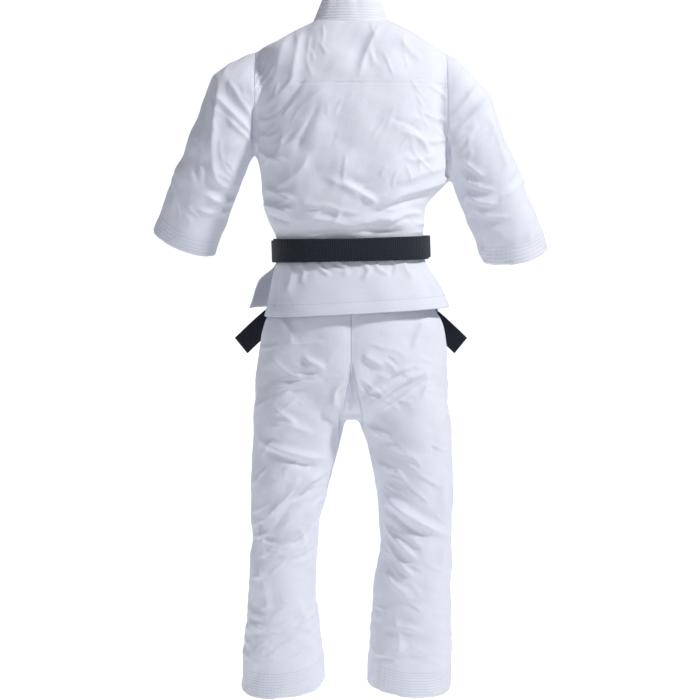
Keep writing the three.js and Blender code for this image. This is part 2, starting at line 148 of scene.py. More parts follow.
trousers_drop = 0.42
sweep = round_sweep("sweep", 5.0, 4.0, 9.0, cad_low.z - trousers_drop - 0.03)
paper = bpy.data.materials.new("white_paper")
paper.use_nodes = True
paper_tree = paper.node_tree
paper_shader = paper_tree.nodes["Principled BSDF"]
paper_shader.inputs["Base Color"].default_value = (0.35, 0.355, 0.365, 1)
paper_shader.inputs["Roughness"].default_value = 0.95
paper_shader.inputs["Emission Color"].default_value = (0.94, 0.955, 1.0, 1)
room_place = paper_tree.nodes.new("ShaderNodeTexCoord")
room_axes = paper_tree.nodes.new("ShaderNodeSeparateXYZ")
paper_tree.links.new(room_place.outputs["Object"], room_axes.inputs[0])


def glow_along(axis, start, end, at_start, at_end):
    """A strength that changes evenly between two places on one axis; for X, on both sides alike."""
    away = room_axes.outputs[axis]
    if axis == "X":
        both = paper_tree.nodes.new("ShaderNodeMath")
        both.operation = "ABSOLUTE"
        paper_tree.links.new(away, both.inputs[0])
        away = both.outputs[0]
    ramp = paper_tree.nodes.new("ShaderNodeMapRange")
    paper_tree.links.new(away, ramp.inputs["Value"])
    for socket, value in (("From Min", start), ("From Max", end), ("To Min", at_start), ("To Max", at_end)):
        ramp.inputs[socket].default_value = value
    return ramp.outputs["Result"]


# Painted light: the paper glows as if lamps lit it. The glow is at full strength on the wall behind the uniform
# and near its middle, and falls to 0.17 of that towards the camera's side and the far sides.
glow = paper_tree.nodes.new("ShaderNodeMath")
glow.operation = "MULTIPLY"
paper_tree.links.new(glow_along("Y", 0.5, 2.5, 1.0, 0.17), glow.inputs[0])
paper_tree.links.new(glow_along("X", 2.6, 4.2, 1.0, 0.17), glow.inputs[1])
paper_tree.links.new(glow.outputs[0], paper_shader.inputs["Emission Strength"])
sweep.data.materials.append(paper)
sweep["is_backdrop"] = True
scene.view_settings.view_transform = "Standard"

# %% [markdown]
# ## Making surfaces from rings
# A sleeve, a trouser leg and a body are all tubes. A tube is a stack of rings, and a ring here is a
# superellipse: rounder than a box and squarer than an oval, as a body's cross-section is.

# %% Rings and tubes
def link_mesh(name, points, faces):
    """Puts an array of points and a list of faces into a new object at the origin."""
    mesh = bpy.data.meshes.new(name)
    mesh.from_pydata(np.asarray(points).reshape(-1, 3).tolist(), [], [list(f) for f in faces])
    mesh.validate()
    made = bpy.data.objects.new(name, mesh)
    scene.collection.objects.link(made)
    return made


def body_ring(z, left, right, back, front, x=0.0, y=0.0, power=2.4, n=64):
    """A level ring. Each quarter follows |x/a|^p + |y/b|^p = 1 with its own half-width a and half-depth b."""
    angle = np.linspace(0, 2 * math.pi, n, endpoint=False)
    c, s = np.cos(angle), np.sin(angle)
    a = np.where(c > 0, left, right)
    b = np.where(s > 0, back, front)
    shape = lambda v: np.sign(v) * np.abs(v) ** (2 / power)
    return np.stack([x + a * shape(c), y + b * shape(s), np.full(n, z)], 1)


def stacked_rings(stations, rows, n=64, **common):
    """Rings at even heights, every size of a ring worked out from the stations by a smooth curve in height."""
    stations = sorted(stations, key=lambda s: s["z"])
    knots = np.array([s["z"] for s in stations])
    z = np.linspace(knots[0], knots[-1], rows)
    keys = [k for k in stations[0] if k != "z"]
    smooth = {k: monotone(knots, np.array([s[k] for s in stations]), z) for k in keys}
    return [body_ring(z[i], n=n, **{k: smooth[k][i] for k in keys}, **common) for i in range(rows)]


def monotone(x, y, at):
    """A cubic curve through the points that never swings past them. Its slope at a point is a harmonic mean."""
    step = np.diff(x)
    rise = np.diff(y) / step
    slope = np.zeros(len(y))
    same = rise[1:] * rise[:-1] > 0
    slope[1:-1][same] = 2 / (1 / rise[1:][same] + 1 / rise[:-1][same])
    i = np.clip(np.searchsorted(x, at) - 1, 0, len(step) - 1)
    t = (at - x[i]) / step[i]
    h = step[i]
    return (
        y[i] * (1 + 2 * t) * (1 - t) ** 2
        + y[i + 1] * t**2 * (3 - 2 * t)
        + slope[i] * h * t * (1 - t) ** 2
        + slope[i + 1] * h * t**2 * (t - 1)
    )


def tube(name, rings):
    """A closed tube through rings of equal length, with a flat cap at either end."""
    rings = np.array(rings)
    rows, n = rings.shape[:2]
    i, j = np.meshgrid(np.arange(rows - 1), np.arange(n), indexing="ij")
    k = (j + 1) % n
    faces = np.stack([i * n + j, i * n + k, (i + 1) * n + k, (i + 1) * n + j], -1).reshape(-1, 4).tolist()
    faces += [list(range(n))[::-1], list(range((rows - 1) * n, rows * n))]
    return link_mesh(name, rings, faces)


def smooth_step(t):
    """0 before t = 0, 1 after t = 1, and 3t^2 - 2t^3 between."""
    t = np.clip(t, 0, 1)
    return t * t * (3 - 2 * t)


def applied(obj):
    """Replaces an object's mesh with what its modifiers make of it, and clears them."""
    graph = bpy.context.evaluated_depsgraph_get()
    mesh = bpy.data.meshes.new_from_object(obj.evaluated_get(graph))
    obj.modifiers.clear()
    obj.data = mesh
    return obj


def discard(*objs):
    """Removes helper objects that are not part of the uniform."""
    for obj in objs:
        bpy.data.objects.remove(obj)


def one_skin(name, parts, voxel, rounds):
    """The outer skin of several closed tubes that run into one another, as even squares of voxel size."""
    for other in bpy.context.selected_objects:
        other.select_set(False)
    for part in parts:
        part.select_set(True)
    bpy.context.view_layer.objects.active = parts[0]
    bpy.ops.object.join()
    skin = bpy.context.view_layer.objects.active
    skin.name = name
    skin.select_set(False)
    remesh = skin.modifiers.new("voxels", "REMESH")
    remesh.mode, remesh.voxel_size = "VOXEL", voxel
    soften = skin.modifiers.new("soften", "SMOOTH")
    soften.factor, soften.iterations = 0.5, rounds
    return applied(skin)


def cut(obj, point, normal, drop_beyond):
    """Cuts along a plane, which leaves a clean edge, and drops what lies on the side the normal points to."""
    work = bmesh.new()
    work.from_mesh(obj.data)
    everything = work.verts[:] + work.edges[:] + work.faces[:]
    bmesh.ops.bisect_plane(
        work, geom=everything, dist=1e-5, plane_co=point, plane_no=normal, clear_outer=drop_beyond
    )
    work.to_mesh(obj.data)
    work.free()


def points_of(obj):
    """The object's vertices as an array."""
    flat = np.empty(len(obj.data.vertices) * 3, np.float32)
    obj.data.vertices.foreach_get("co", flat)
    return flat.reshape(-1, 3).astype(float)


def normals_of(obj):
    """The direction each vertex faces, as an array."""
    flat = np.empty(len(obj.data.vertices) * 3, np.float32)
    obj.data.vertex_normals.foreach_get("vector", flat)
    return flat.reshape(-1, 3).astype(float)


def set_points(obj, points):
    """Moves the object's vertices to an array of places."""
    obj.data.vertices.foreach_set("co", np.asarray(points, np.float32).ravel())
    obj.data.update()


def face_middles(obj):
    """The middle of each face, as an array."""
    flat = np.empty(len(obj.data.polygons) * 3, np.float32)
    obj.data.polygons.foreach_get("center", flat)
    return flat.reshape(-1, 3).astype(float)


def panel_of(name, source, keep, inward=0.0, **measures):
    """A new object from the faces of source where keep is true, moved inwards by a distance. Each measure is a
    value at every vertex of source, and becomes an attribute of the panel."""
    mesh = source.data
    corner = np.empty(len(mesh.loops), np.int32)
    mesh.loops.foreach_get("vertex_index", corner)
    sides = np.empty(len(mesh.polygons), np.int32)
    mesh.polygons.foreach_get("loop_total", sides)
    kept = np.repeat(keep, sides)
    used, corner = np.unique(corner[kept], return_inverse=True)
    sides = sides[keep]
    points = (points_of(source) - normals_of(source) * np.reshape(inward, (-1, 1)))[used]
    made = bpy.data.meshes.new(name)
    made.vertices.add(len(used))
    made.vertices.foreach_set("co", points.astype(np.float32).ravel())
    made.loops.add(len(corner))
    made.loops.foreach_set("vertex_index", corner.astype(np.int32))
    made.polygons.add(len(sides))
    made.polygons.foreach_set("loop_start", np.r_[0, np.cumsum(sides)[:-1]].astype(np.int32))
    made.polygons.foreach_set("use_smooth", np.ones(len(sides), bool))
    made.update(calc_edges=True)
    for key, values in measures.items():
        made.attributes.new(key, "FLOAT", "POINT").data.foreach_set("value", values[used].astype(np.float32))
    panel = bpy.data.objects.new(name, made)
    scene.collection.objects.link(panel)
    print(name, len(sides), "faces")
    return panel


def grid(name, points, round_u=False, round_v=False, turn=False, **measures):
    """A new object from an array of points, rows by columns, closed round in u or v where asked. The faces are
    wound u then v, or the other way round where turn is true."""
    rows, columns = points.shape[:2]
    i = np.arange(rows if round_u else rows - 1)
    j = np.arange(columns if round_v else columns - 1)
    i, j = np.meshgrid(i, j, indexing="ij")
    k, m = (i + 1) % rows, (j + 1) % columns
    faces = np.stack([i * columns + j, k * columns + j, k * columns + m, i * columns + m], -1).reshape(-1, 4)
    if turn:
        faces = faces[:, ::-1]
    mesh = bpy.data.meshes.new(name)
    mesh.from_pydata(points.reshape(-1, 3).tolist(), [], faces.tolist())
    mesh.polygons.foreach_set("use_smooth", [True] * len(mesh.polygons))
    for key, values in measures.items():
        flat = np.broadcast_to(values, points.shape[:2]).astype(np.float32).ravel()
        mesh.attributes.new(key, "FLOAT", "POINT").data.foreach_set("value", flat)
    made = bpy.data.objects.new(name, mesh)
    scene.collection.objects.link(made)
    return made


def thicken(obj, thickness, offset=-1.0):
    """Gives a sheet its two sides. Offset -1 puts all of the thickness inside the sheet, 1 all outside."""
    wall = obj.modifiers.new("cloth", "SOLIDIFY")
    wall.thickness, wall.offset, wall.use_rim = thickness, offset, True
    return obj


# %% [markdown]
# ## Folds
# Canvas is stiff, so it folds in long straight-backed rolls rather than in small ripples. A fold is drawn as a
# line on the back or front of the garment: the cloth rises on the line and dips beside it, and the roll fades
# at both ends. Folds fan out from where the cloth is held or pulled: the belt, the armholes, the crotch.

# %% Folds as moves along the normal
fold_strength = 2.0


def beside(x, z, line):
    """For points in the plane of x and z: the distance to the line, with its sign, and how far along the line
    that is, from 0 to 1. The nearest of the line's straight stretches counts."""
    line = np.asarray(line, float)
    a, b = line[:-1], line[1:]
    step = b - a
    long = np.hypot(*step.T)
    start = np.r_[0, np.cumsum(long)[:-1]]
    dx, dz = x[:, None] - a[:, 0], z[:, None] - a[:, 1]
    along = np.clip((dx * step[:, 0] + dz * step[:, 1]) / long**2, 0, 1)
    away = np.hypot(dx - along * step[:, 0], dz - along * step[:, 1])
    side = np.sign(dx * step[:, 1] - dz * step[:, 0])
    near = away.argmin(1)
    row = np.arange(len(x))
    return away[row, near] * side[row, near], (start[near] + along[row, near] * long[near]) / long.sum()


def curve_through(line, count=24):
    """A smooth line through a few points, by Catmull and Rom's rule."""
    p = np.asarray(line, float)
    p = np.vstack([2 * p[0] - p[1], p, 2 * p[-1] - p[-2]])
    t = np.linspace(0, len(p) - 3 - 1e-9, count)
    i = t.astype(int)
    t = (t - i)[:, None]
    a, b, c, d = p[i], p[i + 1], p[i + 2], p[i + 3]
    return 0.5 * (2 * b + (c - a) * t + (2 * a - 5 * b + 4 * c - d) * t**2 + (3 * b - a - 3 * c + d) * t**3)


def add_fold(height, points, facing, line, width, size, lean=0.0, rear=True):
    """Adds one fold to how far each point moves out. Across the line it is a bell of the given width, less a wider
    and shallower bell, so the cloth dips beside the roll. Lean shifts the dip to one side. Ends fade over a
    quarter of the length. Only cloth that faces the rear, or the front, takes part."""
    line = np.asarray(line, float) / 1000
    if len(line) > 2:
        line = curve_through(line)
    width, size = width / 1000, fold_strength * size / 1000
    reach = 4.5 * width
    flat = points[:, [0, 2]]
    near = np.all((flat > line.min(0) - reach) & (flat < line.max(0) + reach), axis=1)
    near &= (facing if rear else -facing) > -0.05
    near = np.flatnonzero(near)
    off, along = beside(*flat[near].T, line)
    bell = np.exp(-(np.abs(off / width) ** 1.4))
    dip = np.exp(-(((off - lean * width) / (1.9 * width)) ** 2))
    fade = smooth_step(along / 0.28) * smooth_step((1 - along) / 0.28)
    turned = smooth_step((facing[near] if rear else -facing[near]) / 0.35 + 0.1)
    height[near] += size * (bell - 0.42 * dip) * fade * turned


def fine_creases(seed, count, box, heading, spread):
    """Short shallow folds in a box of x and z in millimetres: random middles, lengths and widths, and headings
    within the spread of one angle in degrees, measured from the wearer's left towards up."""
    draw = np.random.default_rng(seed)
    x0, x1, z0, z1 = box
    made = []
    for _ in range(count):
        middle = np.array([draw.uniform(x0, x1), draw.uniform(z0, z1)])
        angle = math.radians(heading + draw.uniform(-spread, spread))
        half = draw.uniform(14, 34) * np.array([math.cos(angle), math.sin(angle)])
        bow = draw.uniform(-4, 4) * np.array([-math.sin(angle), math.cos(angle)])
        line = [middle - half, middle + bow, middle + half]
        made.append((line, draw.uniform(3.5, 6.0), draw.uniform(0.6, 1.5), draw.uniform(-0.8, 0.8)))
    return made


def ripple_height(points, length, height, seed, stretch=(1, 1, 1), waves=14):
    """Uneven cloth: the sum of sine waves in random directions, with lengths about the one given."""
    draw = np.random.default_rng(seed)
    heading = draw.normal(size=(waves, 3)) * np.array(stretch)
    heading /= np.linalg.norm(heading, axis=1)[:, None]
    number = 2 * math.pi / (length * draw.uniform(0.7, 1.6, waves))
    phase = draw.uniform(0, 2 * math.pi, waves)
    wave = np.sin((points @ heading.T) * number + phase).sum(1) / math.sqrt(waves / 2)
    return height * wave

# %% [markdown]
# ## The jacket: body and sleeves
# A karate jacket is cut from heavy canvas: a back, two fronts that wrap over each other, and two wide sleeves.
# The body and sleeves could be drawn as separate sheets, but the folds at the armpits run across the seams.
# So a closed body and two closed sleeves are merged into one skin, given their folds as one, and only then
# cut along the real seams.

# %% The jacket's outline
jacket_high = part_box("jacket_back")[1]
seam_x = jacket_high.x
waist_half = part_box("waistband")[1].x + 0.007
torso_stations = [
    dict(z=-0.030, left=waist_half, right=waist_half - 0.001, back=0.106, front=0.109),
    dict(z=0.012, left=waist_half + 0.001, right=waist_half - 0.001, back=0.107, front=0.110),
    dict(z=0.030, left=0.157, right=0.149, back=0.113, front=0.114),
    dict(z=0.055, left=0.169, right=0.150, back=0.124, front=0.121),
    dict(z=0.080, left=0.177, right=0.152, back=0.127, front=0.124),
    dict(z=0.118, left=0.183, right=0.180, back=0.125, front=0.125),
    dict(z=0.145, left=0.185, right=0.198, back=0.124, front=0.125),
    dict(z=0.165, left=0.188, right=0.198, back=0.123, front=0.125),
    dict(z=0.200, left=0.193, right=0.193, back=0.121, front=0.124),
    dict(z=0.260, left=0.193, right=0.192, back=0.118, front=0.120),
    dict(z=0.340, left=0.193, right=0.192, back=0.106, front=0.106),
    dict(z=0.400, left=0.187, right=0.187, back=0.083, front=0.084),
    dict(z=0.430, left=0.142, right=0.142, back=0.074, front=0.074),
    dict(z=0.455, left=0.096, right=0.096, back=0.065, front=0.067),
    dict(z=0.475, left=0.056, right=0.056, back=0.054, front=0.060),
]


def arm_line(side, share):
    """The middle of a sleeve at a share of its length: straight down at a lean, then carried forward."""
    lean = math.radians(22.5)
    down = np.array([side * math.sin(lean), 0, -math.cos(lean)])
    start = np.array([side * 0.2184, 0, 0.3098 + side * 0.018])
    share = np.asarray(share, float)[..., None]
    forward = 0.056 * np.maximum(0, (share - 0.3) / 0.7) ** 1.5
    return start + share * sleeve_length * down - forward * np.array([0, 1, 0])


def arm_ring(side, share, half, depth, n=56):
    """A ring square to the sleeve's middle line, half wide across the body and depth deep through it."""
    here, ahead, behind = (arm_line(side, share + d) for d in (0, 0.02, -0.02))
    along = (ahead - behind) / np.linalg.norm(ahead - behind)
    wide = np.cross(along, [0, 1, 0])
    wide /= np.linalg.norm(wide)
    deep = np.cross(wide, along)
    angle = np.linspace(0, 2 * math.pi, n, endpoint=False)[:, None]
    shape = lambda v: np.sign(v) * np.abs(v) ** (2 / 2.15)
    return here + half * shape(np.cos(angle)) * wide + depth * shape(np.sin(angle)) * deep


sleeve_length = 0.335
sleeve_sizes = {  # share of the length: half-width and half-depth
    +1: [
        (-0.10, 0.055, 0.060),
        (0.00, 0.069, 0.066),
        (0.30, 0.068, 0.066),
        (0.62, 0.067, 0.064),
        (1.06, 0.071, 0.066),
    ],
    -1: [
        (-0.10, 0.055, 0.060),
        (0.00, 0.069, 0.066),
        (0.30, 0.068, 0.066),
        (0.60, 0.069, 0.064),
        (1.06, 0.070, 0.066),
    ],
}


def sleeve_tube(side):
    """A closed sleeve: even rings down the arm, with its top rounded over into the shoulder."""
    share, half, depth = np.array(sleeve_sizes[side]).T
    even = np.linspace(0, share[-1], 26)
    sizes = zip(even, monotone(share, half, even), monotone(share, depth, even))
    rings = [arm_ring(side, *size) for size in sizes]
    apex = np.array([side * (seam_x - 0.012), 0, 0.4005])
    towards = apex - arm_line(side, 0.0)
    centre = rings[0].mean(0)
    top = [centre + (rings[0] - centre) * (1 - t) ** 0.62 + towards * t for t in np.linspace(0.15, 0.97, 7)]
    return tube("sleeve", [*rings[::-1], *top])


# %% One skin for the jacket
jacket = one_skin(
    "jacket",
    [tube("torso", stacked_rings(torso_stations, 60, n=96)), sleeve_tube(1), sleeve_tube(-1)],
    voxel=0.006,
    rounds=10,
)
jacket_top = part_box("collar_stand")[0].z + 0.020
jacket_foot = -0.006
cut(jacket, (0, 0, jacket_foot), (0, 0, -1), False)
cut(jacket, (0, 0, jacket_top), (0, 0, 1), True)
cut(jacket, (seam_x, 0, 0), (1, 0, 0), False)
cut(jacket, (-seam_x, 0, 0), (1, 0, 0), False)
cut(jacket, (0, 0, 0), (0, 1, 0), False)
sleeve_end = {}
for side, share, slant in ((1, 1.0, 1.0), (-1, 0.965, 0.5)):
    heading = arm_line(side, share) - arm_line(side, share - 0.03)
    sleeve_end[side] = (arm_line(side, share), heading * [slant, 1, 1])
for side in (1, -1):
    cut(jacket, *sleeve_end[side], True)

middle = face_middles(jacket)
label = np.select(
    [middle[:, 0] > seam_x, middle[:, 0] < -seam_x, middle[:, 2] < jacket_foot, middle[:, 1] > 0],
    [1, 2, 0, 3],
    4,
)
jacket.data.attributes.new("panel", "INT", "FACE").data.foreach_set("value", label.astype(np.int32))
finer = jacket.modifiers.new("finer", "SUBSURF")
finer.levels = finer.render_levels = 1
applied(jacket)
label = np.empty(len(jacket.data.polygons), np.int32)
jacket.data.attributes["panel"].data.foreach_get("value", label)
print("jacket skin", len(label), "faces")

# %% Folds of the jacket, each a line in millimetres, seen from the back or the front
# line, width, height, lean
back_folds = [
    ([(99, 456), (108, 400), (122, 318)], 9, 2.4, 0.9),
    ([(124, 440), (140, 392), (150, 345)], 9, 1.2, 0.6),
    ([(-60, 455), (-30, 392), (-14, 335)], 10, 3.2, -0.9),
    ([(-92, 440), (-108, 410), (-150, 372)], 11, 2.4, 0.5),
    ([(40, 330), (80, 300), (120, 262)], 10, 1.6, 0.3),
    ([(84, 350), (120, 306), (158, 262)], 9, -3.4, 0.0),
    ([(108, 352), (140, 312), (178, 282)], 8, 2.6, 0.0),
    ([(58, 300), (92, 238), (113, 190)], 10, -2.8, 0.0),
    ([(82, 262), (112, 222), (150, 190)], 9, 2.6, 0.0),
    ([(82, 200), (100, 158), (165, 112)], 10, 3.2, 0.6),
    ([(198, 322), (180, 352), (160, 392)], 4.0, 1.6, 0.0),
    ([(198, 302), (176, 334), (150, 372)], 4.0, 1.5, 0.0),
    ([(198, 340), (184, 368), (168, 402)], 4.0, 1.4, 0.0),
    ([(196, 262), (168, 258), (142, 268)], 5.0, 2.0, 0.4),
    ([(196, 236), (170, 226), (140, 232)], 6.0, 2.2, 0.4),
    ([(194, 206), (168, 186), (120, 172)], 7.0, 2.6, 0.5),
    ([(24, 136), (-14, 116), (-58, 88)], 8, 5.0, 0.9),
    ([(60, 150), (8, 122), (-30, 92)], 10, 2.2, 0.6),
    ([(-46, 74), (-90, 104), (-140, 120), (-206, 142)], 9, 5.2, -0.9),
    ([(-30, 62), (-74, 84), (-124, 98), (-176, 110)], 7, -3.6, 0.0),
    ([(-80, 128), (-130, 146), (-200, 168)], 9, 3.0, -0.5),
    ([(-96, 236), (-142, 218), (-160, 186)], 9, 2.6, 0.6),
    ([(-70, 262), (-112, 250), (-150, 226)], 9, -2.2, 0.0),
    ([(-100, 190), (-130, 178), (-176, 192)], 8, 2.4, -0.5),
    ([(-196, 300), (-176, 318), (-150, 330)], 5.0, 1.8, 0.0),
    ([(-196, 262), (-172, 262), (-140, 276)], 5.5, 2.0, 0.4),
    ([(-197, 228), (-172, 216), (-150, 218)], 6.0, 2.4, 0.4),
    ([(186, 96), (150, 84), (112, 72)], 8, 4.4, 0.7),
    ([(180, 126), (146, 112), (104, 92)], 8, 3.4, 0.6),
    ([(176, 72), (146, 60), (118, 52)], 7, -4.0, 0.0),
    ([(128, 62), (60, 60), (0, 50), (-50, 62), (-140, 54)], 10, 5.0, 0.4),
    ([(104, 78), (60, 88), (20, 78), (-30, 70)], 7, 2.6, 0.4),
    ([(140, 38), (66, 36), (-10, 40), (-60, 34), (-130, 38)], 6, -3.2, 0.0),
    ([(-80, 60), (-112, 72), (-150, 72)], 7, 3.2, 0.4),
    ([(52, 44), (30, 60), (22, 84)], 7, 2.4, 0.3),
    ([(-70, 40), (-92, 56), (-128, 62)], 6, -2.6, 0.3),
]
back_folds += fine_creases(21, 26, (-150, 150, 34, 130), 170, 24)
back_folds += fine_creases(22, 12, (110, 190, 180, 330), 120, 25)
back_folds += fine_creases(23, 12, (-190, -110, 150, 320), 60, 25)
back_folds += fine_creases(24, 12, (-120, 120, 340, 450), 80, 20)
back_folds += fine_creases(25, 14, (-130, 130, 140, 320), 130, 40)
front_folds = [
    ([(150, 420), (120, 350), (60, 270)], 11, 3.4, 0.5),
    ([(190, 260), (140, 200), (60, 120)], 12, 3.8, 0.6),
    ([(196, 226), (150, 160), (80, 70)], 10, 3.0, 0.4),
    ([(190, 150), (130, 96), (40, 44)], 10, 4.4, 0.7),
    ([(186, 100), (140, 70), (70, 40)], 8, 3.6, 0.5),
    ([(-150, 420), (-116, 356), (-80, 300)], 11, 3.2, -0.5),
    ([(-194, 250), (-150, 200), (-96, 170)], 11, 3.6, -0.6),
    ([(-200, 150), (-150, 112), (-96, 92)], 10, 4.0, -0.7),
    ([(-190, 100), (-140, 70), (-84, 52)], 8, 3.4, -0.5),
    ([(130, 48), (60, 44), (10, 40)], 9, 3.4, 0.4),
    ([(-40, 42), (-90, 48), (-140, 46)], 9, 3.2, 0.4),
]
left_sleeve_folds = [
    ([(270, 362), (268, 310), (278, 240), (280, 165), (262, 128), (214, 132)], 10, 4.6, -0.8),
    ([(292, 352), (296, 300), (312, 236), (316, 160), (300, 112)], 9, -4.0, 0.0),
    ([(282, 320), (240, 276), (192, 226)], 8, 4.0, 0.7),
    ([(250, 346), (222, 300), (194, 258)], 7, 2.8, 0.4),
    ([(252, 268), (224, 238), (196, 214)], 6, 3.0, 0.4),
    ([(300, 112), (262, 96), (228, 104)], 7, 3.8, 0.7),
    ([(322, 84), (280, 72), (238, 84)], 7, 3.0, 0.6),
    ([(352, 196), (360, 120), (374, 60)], 12, 2.6, 0.3),
    ([(336, 300), (348, 240), (352, 190)], 10, 2.0, 0.3),
    ([(232, 400), (250, 372), (262, 344)], 10, 2.4, 0.2),
]
right_sleeve_folds = [
    ([(-288, 322), (-250, 276), (-200, 226)], 8, 4.6, -0.7),
    ([(-264, 342), (-232, 300), (-198, 264)], 7, 3.0, -0.4),
    ([(-262, 258), (-232, 228), (-202, 204)], 6, 3.0, -0.4),
    ([(-276, 284), (-300, 214), (-318, 150)], 10, 4.2, 0.8),
    ([(-296, 294), (-334, 206), (-344, 146)], 9, -4.2, 0.0),
    ([(-372, 168), (-340, 128), (-300, 100)], 9, 3.6, -0.5),
    ([(-214, 182), (-240, 166), (-272, 142)], 7, 3.6, -0.7),
    ([(-222, 150), (-252, 128), (-296, 118)], 7, 3.8, -0.7),
    ([(-228, 122), (-256, 98), (-300, 90)], 7, 4.0, -0.7),
    ([(-246, 90), (-280, 66), (-330, 66)], 7, 3.0, -0.5),
    ([(-376, 92), (-366, 40), (-372, 0)], 11, 2.4, 0.3),
]

left_sleeve_folds += fine_creases(31, 20, (210, 370, 60, 330), 65, 30)
right_sleeve_folds += fine_creases(32, 20, (-370, -210, 60, 330), 115, 30)


def folded(points, facing, folds, rear=True):
    """The sum of several folds' heights at each point."""
    height = np.zeros(len(points))
    for fold in folds:
        add_fold(height, points, facing, *fold, rear=rear)
    return height


def shaped(obj, height):
    """Moves each point of an object along its normal by a height."""
    set_points(obj, points_of(obj) + normals_of(obj) * height[:, None])


place, facing = points_of(jacket), normals_of(jacket)[:, 1]
on_left, on_right = smooth_step((place[:, 0] - seam_x) / 0.006), smooth_step((-place[:, 0] - seam_x) / 0.006)
on_body = 1 - on_left - on_right
height = on_body * (folded(place, facing, back_folds) + folded(place, facing, front_folds, rear=False))
mirror = lambda folds: [([(x + 12, z - 6) for x, z in line], *rest) for line, *rest in folds]
for on_sleeve, folds in ((on_left, left_sleeve_folds), (on_right, right_sleeve_folds)):
    height += on_sleeve * (folded(place, facing, folds) + folded(place, facing, mirror(folds), False))
slit_depth = 0.010
for slit_x, slit_top, slit_foot in ((0.1945, 0.298, 0.186), (-0.197, 0.232, 0.166)):
    beside_slit = np.exp(-(((place[:, 0] - slit_x) / 0.0045) ** 2)) * smooth_step(facing / 0.2 + 0.2)
    in_slit = smooth_step((slit_top - place[:, 2]) / 0.03) * (place[:, 2] > slit_foot - 0.02)
    height -= slit_depth * beside_slit * in_slit
height += ripple_height(place, 0.075, 0.0014, 3) + ripple_height(place, 0.030, 0.0003, 4)
shaped(jacket, height)
place = points_of(jacket)
place[:, 2] = np.minimum(place[:, 2], jacket_top - 0.13 * np.maximum(place[:, 1], 0))
set_points(jacket, place)
print("jacket folds reach", round(height.min() * 1000, 1), "to", round(height.max() * 1000, 1), "mm")

# %% [markdown]
# ## The trousers
# Two wide legs meet a seat on a centre seam, with a diamond-shaped gusset let in at the crotch so that the
# wearer can kick. They are made as the jacket was: closed tubes merged into one skin, folded, then cut on the
# centre seam and round the gusset.

# %% One skin for the trousers
seat_stations = [
    dict(z=0.024, left=0.143, right=0.143, back=0.100, front=0.100),
    dict(z=-0.022, left=0.143, right=0.143, back=0.101, front=0.101),
    dict(z=-0.070, left=0.149, right=0.149, back=0.108, front=0.107),
    dict(z=-0.124, left=0.164, right=0.170, back=0.116, front=0.116),
    dict(z=-0.145, left=0.176, right=0.186, back=0.118, front=0.117),
    dict(z=-0.170, left=0.183, right=0.195, back=0.119, front=0.118),
    dict(z=-0.237, left=0.196, right=0.197, back=0.121, front=0.119),
    dict(z=-0.300, left=0.199, right=0.199, back=0.114, front=0.112),
    dict(z=-0.332, left=0.192, right=0.192, back=0.098, front=0.098),
    dict(z=-0.351, left=0.176, right=0.176, back=0.080, front=0.080),
]
leg_stations = {
    +1: [
        dict(z=-0.950, middle=0.1418, half=0.088, depth=0.082),
        dict(z=-0.892, middle=0.1416, half=0.0857, depth=0.082),
        dict(z=-0.845, middle=0.1426, half=0.083, depth=0.081),
        dict(z=-0.766, middle=0.143, half=0.075, depth=0.079),
        dict(z=-0.685, middle=0.142, half=0.0695, depth=0.078),
        dict(z=-0.606, middle=0.138, half=0.0680, depth=0.080),
        dict(z=-0.528, middle=0.132, half=0.0762, depth=0.088),
        dict(z=-0.395, middle=0.114, half=0.0906, depth=0.101),
        dict(z=-0.335, middle=0.106, half=0.0960, depth=0.110),
        dict(z=-0.232, middle=0.098, half=0.0900, depth=0.099),
    ],
    -1: [
        dict(z=-0.950, middle=-0.1205, half=0.0885, depth=0.082),
        dict(z=-0.892, middle=-0.1213, half=0.0878, depth=0.082),
        dict(z=-0.845, middle=-0.123, half=0.0877, depth=0.081),
        dict(z=-0.766, middle=-0.127, half=0.0835, depth=0.079),
        dict(z=-0.685, middle=-0.130, half=0.0774, depth=0.078),
        dict(z=-0.606, middle=-0.1348, half=0.0736, depth=0.080),
        dict(z=-0.528, middle=-0.1345, half=0.0775, depth=0.088),
        dict(z=-0.395, middle=-0.1200, half=0.0890, depth=0.101),
        dict(z=-0.335, middle=-0.1080, half=0.0950, depth=0.110),
        dict(z=-0.232, middle=-0.0980, half=0.0900, depth=0.099),
    ],
}


def leg_tube(side):
    """A closed leg: level rings at even heights, whose middle, half-width and depth follow smooth curves."""
    table = sorted(leg_stations[side], key=lambda s: s["z"])
    knots = np.array([s["z"] for s in table])
    z = np.linspace(knots[0], knots[-1], 70)
    sizes = ([station[key] for station in table] for key in ("middle", "half", "depth"))
    middle, half, depth = (monotone(knots, np.array(size), z) for size in sizes)
    rings = [body_ring(h, a, a, b, b, x=x, power=2.25) for h, x, a, b in zip(z, middle, half, depth)]
    return tube("leg", rings)


def gusset_reach(z):
    """Half the gusset's width at each height: a wedge from its tip down, then even."""
    return np.minimum(0.0015 + gusset_slope * np.maximum(0, gusset_tip - z), gusset_half)


